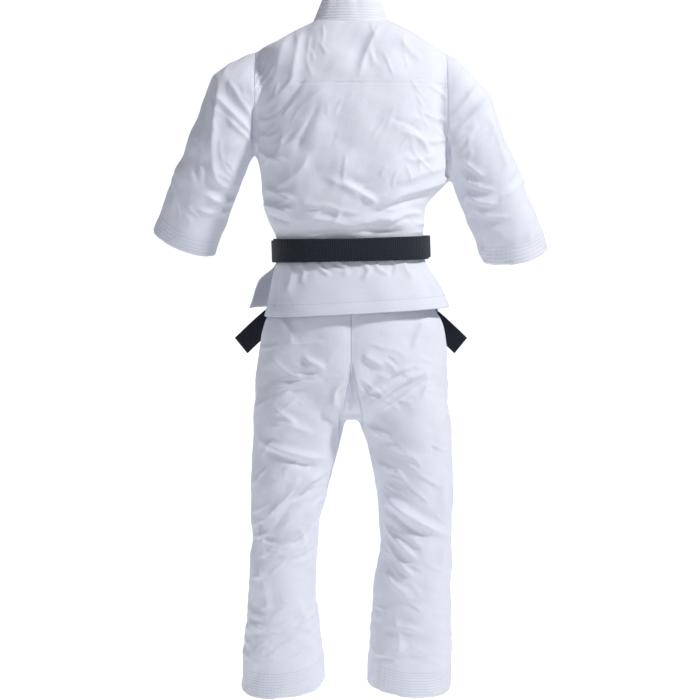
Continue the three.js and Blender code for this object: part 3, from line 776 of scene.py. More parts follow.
trousers = one_skin(
    "trousers",
    [tube("seat", stacked_rings(seat_stations, 50, n=96)), leg_tube(1), leg_tube(-1)],
    voxel=0.006,
    rounds=12,
)
leg_foot = {}
for side in (1, -1):
    pitch, roll = math.atan2(0.014, 0.082), side * math.atan2(0.008, 0.085)
    upright = np.array([math.sin(roll), math.cos(roll) * math.sin(pitch), math.cos(roll) * math.cos(pitch)])
    leg_foot[side] = (np.array([side * 0.131, 0, -0.905]), upright)
waist_top, gusset_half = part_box("waistband")[1].z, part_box("crotch_gusset")[1].x
cut(trousers, (0, 0, waist_top), (0, 0, 1), True)
cut(trousers, (0, 0, 0), (1, 0, 0), False)
gusset_tip, gusset_slope = -0.228, 0.21
for side in (1, -1):
    cut(trousers, (side * gusset_half, 0, 0), (1, 0, 0), False)
    cut(trousers, (side * 0.0015, 0, gusset_tip), Vector((side, 0, gusset_slope)).normalized(), False)
for side in (1, -1):
    cut(trousers, *leg_foot[side], False)
middle = face_middles(trousers)
below_hem = np.zeros(len(middle), bool)
for side in (1, -1):
    point, upright = leg_foot[side]
    below_hem |= (middle[:, 0] * side > 0) & ((middle - point) @ upright < 0)
in_gusset = (middle[:, 2] < gusset_tip) & (middle[:, 2] > -0.42)
in_gusset &= np.abs(middle[:, 0]) < gusset_reach(middle[:, 2])
trouser_label = np.select([below_hem, in_gusset, middle[:, 0] > 0], [0, 3, 1], 2)
trousers.data.attributes.new("panel", "INT", "FACE").data.foreach_set("value", trouser_label.astype(np.int32))
finer = trousers.modifiers.new("finer", "SUBSURF")
finer.levels = finer.render_levels = 1
applied(trousers)
trouser_label = np.empty(len(trousers.data.polygons), np.int32)
trousers.data.attributes["panel"].data.foreach_get("value", trouser_label)
print("trouser skin", len(trouser_label), "faces")

# %% Folds of the trousers
seat_folds = [
    ([(-1, -236), (-3, -290), (3, -348)], 4, -4.2, 0.0),
    ([(101, -214), (76, -226), (48, -240)], 8, 3.4, 0.7),
    ([(146, -136), (124, -160), (118, -196)], 9, 2.6, 0.4),
    ([(168, -210), (130, -246), (80, -262)], 10, 2.0, 0.4),
    ([(158, -290), (120, -272), (50, -262)], 9, 2.8, 0.6),
    ([(12, -262), (32, -286), (30, -330)], 8, 2.6, 0.3),
    ([(-20, -206), (-46, -224), (-70, -232)], 10, 3.4, -0.6),
    ([(-30, -318), (-92, -272), (-162, -240)], 8, 5.2, -0.8),
    ([(-26, -292), (-80, -250), (-134, -230)], 7, 4.0, -0.6),
    ([(-40, -338), (-100, -298), (-168, -252)], 7, -3.6, 0.0),
    ([(-160, -246), (-150, -276), (-138, -300)], 7, 2.8, 0.5),
    ([(-150, -136), (-134, -172), (-122, -206)], 9, 2.6, -0.4),
]
leg_folds_left = [
    ([(158, -322), (140, -330), (106, -352)], 7, 2.6, 0.5),
    ([(166, -360), (130, -352), (70, -372)], 9, 2.4, 0.5),
    ([(196, -384), (150, -402), (90, -418), (36, -428)], 10, 3.6, 0.8),
    ([(186, -402), (130, -424), (60, -446)], 9, -3.4, 0.0),
    ([(176, -556), (140, -512), (96, -476), (44, -452)], 8, 5.2, -0.9),
    ([(166, -578), (128, -528), (90, -496), (52, -476)], 7, -4.0, 0.0),
    ([(190, -560), (182, -596), (174, -640)], 10, 3.6, 0.4),
    ([(158, -604), (120, -588), (88, -556), (64, -506)], 8, 4.6, -0.8),
    ([(190, -598), (150, -606), (110, -600)], 7, 3.4, 0.6),
    ([(150, -628), (120, -622), (84, -596)], 8, 2.8, -0.4),
    ([(110, -560), (96, -590), (92, -630)], 7, 2.4, 0.3),
    ([(196, -640), (176, -700), (172, -760)], 12, 2.4, 0.3),
    ([(120, -700), (100, -740), (84, -800)], 12, 2.0, 0.3),
]
leg_folds_left += fine_creases(41, 34, (50, 200, -690, -400), 145, 22)
leg_folds_left += fine_creases(42, 20, (70, 205, -850, -690), 165, 25)
seat_folds += fine_creases(43, 18, (30, 180, -320, -180), 160, 20)
seat_folds += fine_creases(44, 18, (-180, -30, -320, -180), 25, 20)
leg_folds_right = [
    ([(-26, -352), (-52, -368), (-86, -388)], 8, 3.8, 0.6),
    ([(-60, -392), (-96, -412), (-150, -424)], 10, 2.4, 0.4),
    ([(-196, -320), (-180, -372), (-176, -420)], 10, 2.6, 0.4),
    ([(-60, -492), (-110, -532), (-160, -566), (-212, -596)], 9, 5.4, 0.9),
    ([(-66, -520), (-110, -562), (-160, -590)], 8, -4.4, 0.0),
    ([(-60, -556), (-96, -596), (-140, -640)], 8, 4.2, 0.7),
    ([(-70, -596), (-100, -640), (-130, -672)], 8, 3.4, 0.6),
    ([(-64, -650), (-92, -690), (-130, -708)], 8, 3.0, 0.5),
    ([(-206, -560), (-190, -610), (-184, -660)], 10, 3.2, -0.4),
    ([(-196, -440), (-188, -500), (-196, -560)], 11, 2.4, -0.3),
    ([(-90, -700), (-130, -716), (-180, -704)], 10, 2.0, 0.3),
    ([(-86, -740), (-100, -800), (-96, -840)], 12, 2.0, 0.3),
]
leg_folds_right += fine_creases(45, 34, (-200, -50, -700, -400), 35, 22)
leg_folds_right += fine_creases(46, 20, (-200, -60, -850, -690), 15, 25)
seat_front_folds = [
    ([(40, -250), (90, -262), (160, -246)], 9, 3.4, 0.5),
    ([(30, -290), (90, -300), (160, -300)], 9, 3.0, 0.5),
    ([(-36, -252), (-96, -270), (-160, -262)], 9, 3.4, -0.5),
    ([(-30, -300), (-80, -320), (-150, -330)], 9, 3.0, -0.5),
    ([(60, -150), (50, -200), (40, -244)], 10, 2.6, 0.3),
    ([(-70, -150), (-56, -196), (-40, -236)], 10, 2.6, 0.3),
    ([(60, -420), (110, -470), (180, -500)], 11, 3.2, 0.5),
    ([(80, -560), (120, -590), (190, -600)], 10, 3.6, 0.5),
    ([(84, -620), (130, -646), (190, -650)], 10, 3.0, 0.5),
    ([(-64, -430), (-116, -470), (-180, -496)], 11, 3.2, -0.5),
    ([(-80, -570), (-130, -600), (-200, -606)], 10, 3.6, -0.5),
    ([(-76, -640), (-120, -660), (-190, -668)], 10, 3.0, -0.5),
]
place, facing = points_of(trousers), normals_of(trousers)[:, 1]
rear_folds = seat_folds + leg_folds_left + leg_folds_right
trouser_folds_deeper = 1.3
rear_folds = [(line, width, trouser_folds_deeper * size, lean) for line, width, size, lean in rear_folds]
height = folded(place, facing, rear_folds) + folded(place, facing, seat_front_folds, rear=False)
centre = np.exp(-((place[:, 0] / 0.012) ** 2)) * smooth_step((-0.12 - place[:, 2]) / 0.05)
height -= 0.0030 * centre * smooth_step((place[:, 2] + 0.30) / 0.06)
behind = smooth_step(facing / 0.3)
sunk = smooth_step((gusset_reach(place[:, 2]) - np.abs(place[:, 0])) / 0.006)
sunk *= smooth_step((gusset_tip - place[:, 2]) / 0.02)
gusset_depth = 0.013
height -= gusset_depth * sunk * behind
height += ripple_height(place, 0.085, 0.0014, 5) + ripple_height(place, 0.030, 0.0003, 6)
low = smooth_step((-0.70 - place[:, 2]) / 0.06) * smooth_step((place[:, 2] + 0.865) / 0.03)
height += low * ripple_height(place, 0.030, 0.0007, 7, stretch=(0.12, 0.12, 1))
shaped(trousers, height)
print("trouser folds reach", round(height.min() * 1000, 1), "to", round(height.max() * 1000, 1), "mm")

# %% [markdown]
# ## Cutting the skins along their seams
# Each panel keeps two measures at every point: how far it is from the nearest seam, and how far from its hem.
# The finish reads them to lay its stitching where a sewing machine would, whatever the folds do to the cloth.

# %% Jacket panels
yoke_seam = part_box("shoulder_yoke")[0].z
lapel_line = np.array(
    [(68, 510), (64, 458), (48, 400), (18, 322), (-14, 240), (-48, 150), (-82, 50), (-104, -32), (-122, -168)]
)
lapel_line = curve_through(lapel_line / 1000, 160)
band_width = 0.041
cloth_thickness, facing_thickness = 0.0016, 0.0012
facing_inward = cloth_thickness + 0.0006


def lapel_x(z):
    """Where the seam of the left collar band lies at a height."""
    return np.interp(z, lapel_line[::-1, 1], lapel_line[::-1, 0])


place = points_of(jacket)
x, y, z = place.T
at_armhole = np.where(z < 0.412, np.abs(np.abs(x) - seam_x), 1.0)
at_yoke = np.where((y > 0.01) & (np.abs(x) < seam_x), np.abs(z - yoke_seam), 1.0)
at_side = np.where((np.abs(x) > 0.10) & (np.abs(x) < seam_x) & (z < 0.2), np.abs(y), 1.0)
seam = np.minimum(np.minimum(at_armhole, at_yoke), at_side)
hem = np.ones(len(place))
for side in (1, -1):
    point, square = sleeve_end[side]
    square = square / np.linalg.norm(square)
    own = x * side > seam_x
    hem[own] = np.maximum(0, -((place[own] - point) @ square))

middle = face_middles(jacket)
under = lapel_x(middle[:, 2]) - 0.012
left_keep = (label == 4) & (middle[:, 0] > under)
right_keep = (label == 4) & (middle[:, 0] < -under)
tuck = 0.0046 * smooth_step((x - (lapel_x(z) - 0.095)) / 0.035) * (y < 0)
panels = {
    "jacket_back_panel": panel_of("jacket_back_panel", jacket, label == 3, seam=seam, hem=hem),
    "left_front_panel": panel_of("left_front_panel", jacket, left_keep, seam=seam, hem=hem),
    "right_front_panel": panel_of("right_front_panel", jacket, right_keep, tuck, seam=seam, hem=hem),
    "left_sleeve_panel": panel_of("left_sleeve_panel", jacket, label == 1, seam=seam, hem=hem),
    "right_sleeve_panel": panel_of("right_sleeve_panel", jacket, label == 2, seam=seam, hem=hem),
}
lined = (label == 3) & (middle[:, 2] > yoke_seam) & (np.abs(middle[:, 0]) < 0.164)
yoke_lining = panel_of("yoke_lining", jacket, lined, facing_inward + 0.0004, seam=seam, hem=hem)
for side, name in ((1, "left"), (-1, "right")):
    point, square = sleeve_end[side]
    square = square / np.linalg.norm(square)
    turned_in = (label == (1 if side > 0 else 2)) & ((point - middle) @ square < 0.040)
    cuff_name = name + "_cuff_turned_in"
    panels[cuff_name] = panel_of(cuff_name, jacket, turned_in, facing_inward, seam=seam, hem=hem)
left_skin = panel_of("left_skin", jacket, label == 4)
right_skin = panel_of("right_skin", jacket, label == 4, tuck)
discard(jacket)

# %% Trouser panels
place = points_of(trousers)
x, y, z = place.T
at_centre = np.where(z > gusset_tip, np.abs(x), np.abs(np.abs(x) - gusset_reach(z)))
at_centre = np.where((z < -0.45), 1.0, at_centre)
at_leg_side = np.where((z < -0.30) | (np.abs(x) > 0.1), np.abs(y), 1.0)
seam = np.minimum(at_centre, at_leg_side)
hem = np.ones(len(place))
for side in (1, -1):
    point, upright = leg_foot[side]
    own = x * side > 0
    hem[own] = np.maximum(0, (place[own] - point) @ upright)
left_leg = panel_of("left_leg_panel", trousers, trouser_label == 1, seam=seam, hem=hem)
right_leg = panel_of("right_leg_panel", trousers, trouser_label == 2, seam=seam, hem=hem)
gusset = panel_of("gusset_panel", trousers, trouser_label == 3, seam=seam, hem=hem)
middle = face_middles(trousers)
hem_turned = {}
for side, name in ((1, "left"), (-1, "right")):
    point, upright = leg_foot[side]
    turned_in = (trouser_label == (1 if side > 0 else 2)) & ((middle - point) @ upright < 0.050)
    hem_name = name + "_leg_hem_turned_in"
    hem_turned[side] = panel_of(hem_name, trousers, turned_in, facing_inward, seam=seam, hem=hem)
discard(trousers)

# %% [markdown]
# ## The collar
# One long padded band runs up one front, round the neck and down the other. It is several layers of canvas
# quilted with rows of stitching along its length, so it stands by itself at the neck and lies flat below.
# The rows are modelled, because they show as ridges: each channel between two rows swells a little.

# %% The quilted band
collar_rows = 7


def swell(across, rows, height):
    """The rise between stitch rows: the square root of a sine's size, steep at a row and round between."""
    return height * np.sqrt(np.abs(np.sin(math.pi * rows * across)))


def collar_stand():
    """Round the neck: an ellipse that shrinks by the lean as it rises, and whose foot drops at the front."""
    angle = math.pi / 2 + math.radians(284) * (np.linspace(0, 1, 260)[:, None] - 0.5)
    rise = np.linspace(0, 1, 64)[None]
    lean = math.radians(22.5)
    at_front = smooth_step((np.abs(angle - math.pi / 2) - 1.75) / 0.73)
    tall = 0.0655 * (1 - 0.42 * at_front)
    out = swell(rise, collar_rows + 3, 0.0008) - tall * math.sin(lean) * rise + 0.0004
    depth = np.where(np.sin(angle) > 0, 0.063, 0.080)
    foot = 0.4520 - 0.022 * np.maximum(0, 0.35 - np.sin(angle))
    wave = 0.0006 * np.sin(angle * 9 + 1) + 0.0004 * np.sin(angle * 17)
    x = (0.0825 + out) * np.cos(angle)
    y = (depth + out + wave * rise) * np.sin(angle)
    z = foot + tall * math.cos(lean) * rise + 0.25 * wave
    points = np.stack(np.broadcast_arrays(x, y, z), -1)
    return grid("collar_stand_band", points, seam=1.0, hem=tall * rise)


def lapel_grid(name, side, top, foot, rows=220, columns=56):
    """A strip beside the lapel seam: the seam's points moved square to it, towards the free edge, by up to the
    band's width. It starts in front of the body and is then laid on it."""
    line = lapel_line[(lapel_line[:, 1] < top + 0.01) & (lapel_line[:, 1] > foot - 0.01)]
    far = np.r_[0, np.cumsum(np.hypot(*np.diff(line, axis=0).T))]
    even = np.linspace(0, far[-1], rows)
    line = np.stack([np.interp(even, far, line[:, 0]), np.interp(even, far, line[:, 1])], 1)
    along = np.gradient(line, axis=0)
    along /= np.linalg.norm(along, axis=1)[:, None]
    across = np.linspace(0, 1, columns)
    x = line[:, :1] + along[:, 1:] * band_width * across
    z = line[:, 1:] - along[:, :1] * band_width * across
    z = np.clip(z, foot, top)
    points = np.stack([side * x, np.full_like(x, -0.3), z], -1)
    return grid(name, points, turn=side > 0, seam=1.0, hem=band_width * across[None]), across


def lay_on(strip, skin, across):
    """Lays a strip on a skin along +Y, smooths it, and raises it by the quilting's swell."""
    wrap = strip.modifiers.new("lay", "SHRINKWRAP")
    wrap.wrap_method, wrap.target, wrap.wrap_mode = "PROJECT", skin, "ON_SURFACE"
    wrap.use_project_y, wrap.use_positive_direction, wrap.use_negative_direction = True, True, False
    soften = strip.modifiers.new("soften", "SMOOTH")
    soften.factor, soften.iterations = 0.5, 12
    applied(strip)
    rise = 0.0014 + np.broadcast_to(swell(across, collar_rows, 0.0007), (220, len(across))).ravel()
    set_points(strip, points_of(strip) + normals_of(strip) * rise[:, None])
    return strip


stand_band = collar_stand()
lapel_top = 0.462
lapels = {}
for side, name, skin in ((1, "left", left_skin), (-1, "right", right_skin)):
    strip, across = lapel_grid(name + "_lapel_strip", side, lapel_top, jacket_foot)
    lapels[side] = lay_on(strip, skin, across)
discard(left_skin, right_skin)

# %% [markdown]
# ## The skirt of the jacket
# Below the belt the jacket opens into a short skirt: the back, and the two fronts that still wrap over each
# other. The belt pinches the cloth, so small folds start under it and die out before the hem. These panels are
# plain enough to be worked out directly on a grid: a ring that widens as it goes down, cut where each ends.

# %% The skirt's panels
skirt_top, skirt_power = -0.004, 2.4
back_edges = dict(
    z=[-0.145, -0.130, -0.110, -0.073, -0.035, -0.004],
    left=[0.1795, 0.1765, 0.1715, 0.1650, 0.1560, 0.1480],
    right=[0.2080, 0.2060, 0.2000, 0.1840, 0.1580, 0.1470],
    depth=[0.1330, 0.1320, 0.1290, 0.1220, 0.1130, 0.1040],
)
front_edges = dict(
    z=[-0.145, -0.130, -0.110, -0.066, -0.035, -0.004],
    left=[0.2150, 0.2130, 0.2070, 0.1900, 0.1570, 0.1480],
    right=[0.1900, 0.1860, 0.1800, 0.1660, 0.1560, 0.1470],
    depth=[0.1320, 0.1300, 0.1270, 0.1190, 0.1140, 0.1060],
)


def skirt_point(edges, angle, z, out=0.0):
    """The point of the skirt's ring at an angle and height: |x/a|^p + |y/b|^p = 1, each size grown by out."""
    size = {k: monotone(np.array(edges["z"]), np.array(edges[k]), z) + out for k in ("left", "right", "depth")}
    shape = lambda v: np.sign(v) * np.abs(v) ** (2 / skirt_power)
    c, s = np.cos(angle), np.sin(angle)
    half = np.where(c > 0, size["left"], size["right"])
    return np.stack([half * shape(c), size["depth"] * shape(s), z + 0 * c], -1)


def skirt_angle(edges, x, z, out=0.0):
    """The angle, on the front, at which the ring at a height passes through x."""
    size = {k: monotone(np.array(edges["z"]), np.array(edges[k]), z) + out for k in ("left", "right")}
    share = np.clip(x / np.where(x > 0, size["left"], size["right"]), -1, 1)
    return -np.arccos(np.sign(share) * np.abs(share) ** (skirt_power / 2))


def skirt_hem(x, at_centre, slope):
    """The hem's height: a straight line that drops towards the wearer's left."""
    return at_centre - slope * x


def skirt_panel(name, edges, first, last, hem_line, out=0.0, columns=150, rows=56, turn=False):
    """Lines from top to hem at even shares of the way between two edges, each an angle at every height."""
    share = np.linspace(0, 1, columns)[:, None]
    down = np.linspace(0, 1, rows)[None]
    z = skirt_top + (-0.128 - skirt_top) * down + 0 * share
    for _ in range(3):
        angle = first(z) + (last(z) - first(z)) * share
        x = skirt_point(edges, angle, z, out)[..., 0]
        z = skirt_top + (hem_line(x) - skirt_top) * down
    points = skirt_point(edges, first(z) + (last(z) - first(z)) * share, z, out)
    return grid(name, points, turn=turn, seam=1.0, hem=z - hem_line(points[..., 0]))


straight = lambda angle: (lambda z: np.full_like(z, math.radians(angle)))
back_hem = lambda x: skirt_hem(x, -0.1285, 0.052)
front_hem = lambda x: skirt_hem(x, -0.1245, -0.012) - 0.004 * smooth_step((0.13 - x) / 0.1)
underlay = -0.0046
left_wrap = lambda z: skirt_angle(front_edges, lapel_x(z) - 0.012, z)
right_wrap = lambda z: skirt_angle(front_edges, -lapel_x(z) + 0.012, z)
back_skirt = skirt_panel("back_skirt_panel", back_edges, straight(180), straight(0), back_hem)
left_skirt = skirt_panel("left_skirt_panel", front_edges, straight(-2), left_wrap, front_hem)
right_skirt = skirt_panel(
    "right_skirt_panel", front_edges, straight(-178), right_wrap, front_hem, out=underlay, turn=True
)


def skirt_band(name, side, out):
    """The quilted band's last stretch, over the skirt: a strip beside the lapel seam, raised by the swell."""
    across = np.linspace(0, 1, 56)
    swelling = swell(across, collar_rows, 0.0007)[None]
    z = np.linspace(skirt_top, -0.130, 90)[:, None] + 0 * across[None]
    x = side * (lapel_x(z) - band_width * 1.03 * across[None])
    points = skirt_point(front_edges, skirt_angle(front_edges, x, z, out), z, out + 0.0014 + swelling)
    foot = front_hem(points[..., 0]) - 0.0006
    points[..., 2] = skirt_top + (points[..., 2] - skirt_top) * ((foot - skirt_top) / (-0.130 - skirt_top))
    return grid(name, points, turn=side > 0, seam=1.0, hem=band_width * across[None])


skirt_bands = {1: skirt_band("left_skirt_strip", 1, 0.0), -1: skirt_band("right_skirt_strip", -1, underlay)}
pinches = [
    ([(66, -20), (58, -40), (38, -54)], 5, 3.2, 0.5),
    ([(40, -22), (20, -36), (-4, -40)], 5, -2.6, 0.0),
    ([(22, -20), (10, -38), (12, -58)], 6, 2.8, 0.5),
    ([(-22, -20), (-34, -44), (-20, -62)], 6, 3.2, -0.5),
    ([(-50, -20), (-56, -40), (-84, -52)], 5, 3.2, 0.5),
    ([(-78, -20), (-84, -36), (-74, -56)], 5, -2.6, 0.0),
    ([(-104, -20), (-112, -42), (-128, -62)], 7, 3.0, 0.4),
    ([(128, -20), (118, -50), (132, -100)], 10, 3.6, 0.6),
    ([(100, -20), (94, -42), (100, -70)], 6, 2.6, 0.4),
    ([(146, -30), (150, -70), (158, -120)], 9, -3.0, 0.0),
    ([(-140, -22), (-156, -56), (-176, -96)], 9, 3.0, -0.5),
]
place, facing = points_of(back_skirt), normals_of(back_skirt)[:, 1]
shaped(back_skirt, folded(place, facing, pinches) + ripple_height(place, 0.06, 0.0007, 8))
for skirt, seed in ((left_skirt, 9), (right_skirt, 10)):
    place, facing = points_of(skirt), normals_of(skirt)[:, 1]
    near_band = smooth_step((np.abs(place[:, 0]) - 0.02) / 0.08) if skirt is left_skirt else 0.6
    height = 0.6 * folded(place, facing, pinches, rear=False) + ripple_height(place, 0.06, 0.0006, seed)
    shaped(skirt, height * near_band)
whole_lining = skirt_panel(
    "whole_lining",
    back_edges,
    straight(178.5),
    straight(1.5),
    back_hem,
    out=-facing_inward - 0.0012,
    rows=90,
)
place, middle = points_of(whole_lining), face_middles(whole_lining)
keep = middle[:, 2] < back_hem(middle[:, 0]) + 0.026
above_hem = place[:, 2] - back_hem(place[:, 0])
back_skirt_hem = panel_of("back_skirt_hem_inside", whole_lining, keep, seam=np.ones(len(place)), hem=above_hem)
discard(whole_lining)

# %% [markdown]
# ## The belt
# One cotton strap goes twice round the waist and ends in a square knot, whose two tails hang to the sides. Its
# many rows of stitching make it stiff, so it keeps a flat face and thin square edges. It is a cross-section
# carried along a line: two closed rounds, two loops for the knot, and two tails.

# %% Straps
belt_width, belt_thick = 0.045, 0.0032


def strap(name, path, wide, width, thick, closed=False):
    """A flat rounded cross-section carried along a path. Wide is the direction of its width at each point; the
    direction of its thickness is square to both. Each edge is a half circle. A closed path joins up."""
    path, wide = np.asarray(path, float), np.asarray(wide, float)
    if closed:
        along = np.roll(path, -1, 0) - np.roll(path, 1, 0)
    else:
        along = np.gradient(path, axis=0)
    along /= np.linalg.norm(along, axis=1)[:, None]
    wide = wide - (wide * along).sum(1)[:, None] * along
    wide /= np.linalg.norm(wide, axis=1)[:, None]
    deep = np.cross(along, wide)
    r = thick / 2
    flat = np.linspace(-(width / 2 - r), width / 2 - r, 15)
    turn = np.linspace(-math.pi / 2, math.pi / 2, 6)[1:-1]
    a = np.r_[flat, (width / 2 - r) + r * np.cos(turn), flat[::-1], -(width / 2 - r) - r * np.cos(turn)]
    b = np.r_[np.full(15, -r), r * np.sin(turn), np.full(15, r), r * np.sin(-turn)]
    points = path[:, None] + a[None, :, None] * wide[:, None] + b[None, :, None] * deep[:, None]
    length = np.r_[0, np.cumsum(np.linalg.norm(np.diff(path, axis=0), axis=1))]
    made = grid(name, points, round_u=closed, round_v=True, turn=True, across=a[None, :], along=length[:, None])
    gap = np.linalg.norm(path[0] - path[-1]) if closed else 0
    print(f"{name:24s} {length[-1] + gap:.3f} m long")
    if not closed:
        work = bmesh.new()
        work.from_mesh(made.data)
        ends = [e for e in work.edges if e.is_boundary]
        bmesh.ops.holes_fill(work, edges=ends, sides=0)
        work.to_mesh(made.data)
        work.free()
    return made


def belt_round(name, out, tilt, wobble, seed):
    """Once round the waist: the waist's superellipse grown by out, tilted about the line from back to front."""
    angle = np.linspace(0, 2 * math.pi, 360, endpoint=False)
    shape = lambda v: np.sign(v) * np.abs(v) ** (2 / 2.4)
    x, y = (0.155 + out) * shape(np.cos(angle)), (0.112 + out) * shape(np.sin(angle))
    step = np.linalg.norm(np.diff(np.c_[x, y], axis=0, append=[[x[0], y[0]]]), axis=1)
    even = np.linspace(0, step.sum(), 360, endpoint=False)
    far = np.r_[0, np.cumsum(step)]
    x, y = np.interp(even, far, np.r_[x, x[0]]), np.interp(even, far, np.r_[y, y[0]])
    turn = 2 * math.pi * even / step.sum()
    wave = np.sin(2 * turn + seed) + 0.5 * np.sin(5 * turn + 2 * seed)
    z = -x * math.tan(math.radians(tilt)) + wobble * wave
    wide = np.tile([math.sin(math.radians(tilt)), 0, math.cos(math.radians(tilt))], (360, 1))
    return strap(name, np.c_[x, y, z], wide, belt_width, belt_thick, closed=True)


outer_at = 0.0017 + belt_thick * 1.5 + 0.0005
inner_wrap = belt_round("belt_first_round", 0.0017 + belt_thick / 2, 0.75, 0.0004, 1.0)
outer_wrap = belt_round("belt_second_round", outer_at, 1.8, 0.0003, 2.0)
belt_face = 0.112 + outer_at + belt_thick / 2


def knot_loop(name, centre, lean, deep, tall, width):
    """A closed loop round the belt's front: an ellipse deep from back to front and tall along a leaning line."""
    angle = np.linspace(0, 2 * math.pi, 72, endpoint=False)[:, None]
    up = np.array([math.sin(lean), 0, math.cos(lean)])
    level = np.array([math.cos(lean), 0, -math.sin(lean)])
    shape = lambda v: np.sign(v) * np.abs(v) ** 0.8
    path = centre + deep * shape(np.cos(angle)) * [0, 1, 0] + tall * shape(np.sin(angle)) * up
    return strap(name, path, np.tile(level, (72, 1)), width, 0.0042, closed=True)


knot_y = -(belt_face + 0.0165)
over_middle, under_middle = np.array([0.004, knot_y - 0.002, 0.0]), np.array([-0.006, knot_y + 0.002, -0.001])
knot_over = knot_loop("knot_loop_over", over_middle, math.radians(-32), 0.0135, 0.0215, 0.036)
knot_under = knot_loop("knot_loop_under", under_middle, math.radians(40), 0.010, 0.019, 0.034)

tail_thick = 0.0042


def belt_tail(name, side):
    """From under the knot down and outwards round the hip: a smooth line through five points, that turns its
    face outwards as it goes round. The end twists a little, as stiff cotton does."""
    share = np.array([-0.06, 0, 0.22, 0.5, 0.76, 1.0])
    x = side * (0.030 + (0.232 - 0.030) * share)
    y = -(belt_face + np.array([0.012, 0.0160, 0.014, -0.002, -0.026, -0.046]))
    z = -np.array([0.012, 0.032, 0.084, 0.118, 0.160, 0.205])
    path = curve_through(np.c_[x, y, z], 110)
    s = np.linspace(0, 1, 110)[:, None]
    face = np.c_[side * (0.15 + 0.55 * s), np.full((110, 1), -1.0), 0.10 * np.sin(5 * s)]
    along = np.gradient(path, axis=0)
    return strap(name, path, np.cross(along, face), belt_width, tail_thick)


tails = {1: belt_tail("belt_tail_left_strap", 1), -1: belt_tail("belt_tail_right_strap", -1)}

# %% [markdown]
# ## The waist of the trousers
# A casing of canvas with a flat cord inside gathers the trousers at the waist. It is hidden under the jacket,
# and shows when the trousers slide down. The gathers are small even puckers that fade below the casing.

# %% Casing, its lining and its cord
casing_low, casing_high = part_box("waistband")
casing_half, casing_depth = casing_high.x, casing_high.y


def casing_ring(name, out, low, high, pucker, rows=22, columns=420):
    """A ring of cloth between two heights, grown by out from the waist, with fine upright puckers all round."""
    angle = np.linspace(0, 2 * math.pi, columns, endpoint=False)[:, None]
    z = np.linspace(low, high, rows)[None]
    shape = lambda v: np.sign(v) * np.abs(v) ** (2 / 2.4)
    height = (z - low) / (high - low)
    round_waist = np.sin(46 * angle) + 0.6 * np.sin(73 * angle + 1)
    gather = pucker * round_waist * (0.45 + 0.55 * np.cos(2 * math.pi * height))
    x = (casing_half + out + gather) * shape(np.cos(angle))
    y = (casing_depth + out + gather) * shape(np.sin(angle))
    points = np.stack(np.broadcast_arrays(x, y, z), -1)
    hem_at = np.minimum(z - low, high - z)
    return grid(name, points, round_u=True, seam=1.0, hem=hem_at)


casing = casing_ring("waist_casing", -0.0006, casing_low.z, casing_high.z + 0.001, 0.0006)
lining_low, lining_high = casing_low.z + 0.0008, casing_high.z + 0.0002
casing_lining = casing_ring("waist_casing_lining", -0.0062, lining_low, lining_high, 0.0004)
cord_angle = np.linspace(0, 2 * math.pi, 300, endpoint=False)
cord_shape = lambda v: np.sign(v) * np.abs(v) ** (2 / 2.4)
cord_path = np.c_[
    (casing_half - 0.0040) * cord_shape(np.cos(cord_angle)),
    (casing_depth - 0.0040) * cord_shape(np.sin(cord_angle)),
    np.full(300, 0.004),
]
waist_cord = strap("waist_cord", cord_path, np.tile([0, 0, 1.0], (300, 1)), 0.011, 0.0014, closed=True)

# %% [markdown]
# ## The finishes
# Canvas is a plain weave: threads go over and under each other, and each crossing is a tiny bump. It is bleached
# white, with a little blue in it, and slightly uneven. Stitching shows as rows of small dents with the cloth
# swelling between them. Weave, unevenness and stitch rows are needed by several finishes, so each is a node group.

# %% Node groups
def new_group(name, inputs, outputs):
    """An empty shader node group with float sockets, each input with its default value."""
    group = bpy.data.node_groups.new(name, "ShaderNodeTree")
    for socket, value in inputs.items():
        made = group.interface.new_socket(socket, in_out="INPUT", socket_type="NodeSocketFloat")
        made.default_value = value
    for socket in outputs:
        group.interface.new_socket(socket, in_out="OUTPUT", socket_type="NodeSocketFloat")
    return group, group.nodes.new("NodeGroupInput"), group.nodes.new("NodeGroupOutput")


def math_node(tree, how, *values, clamp=False):
    """A Math node whose inputs are numbers or other nodes' sockets; gives its result's socket."""
    node = tree.nodes.new("ShaderNodeMath")
    node.operation, node.use_clamp = how, clamp
    for socket, value in zip(node.inputs, values):
        if isinstance(value, bpy.types.NodeSocket):
            tree.links.new(value, socket)
        else:
            socket.default_value = value
    return node.outputs[0]


def noise_node(tree, vector, scale, detail=2.0):
    """A Noise Texture's value at a position, with about scale blobs to the metre."""
    node = tree.nodes.new("ShaderNodeTexNoise")
    node.inputs["Scale"].default_value, node.inputs["Detail"].default_value = scale, detail
    tree.links.new(vector, node.inputs["Vector"])
    return node.outputs["Fac"]


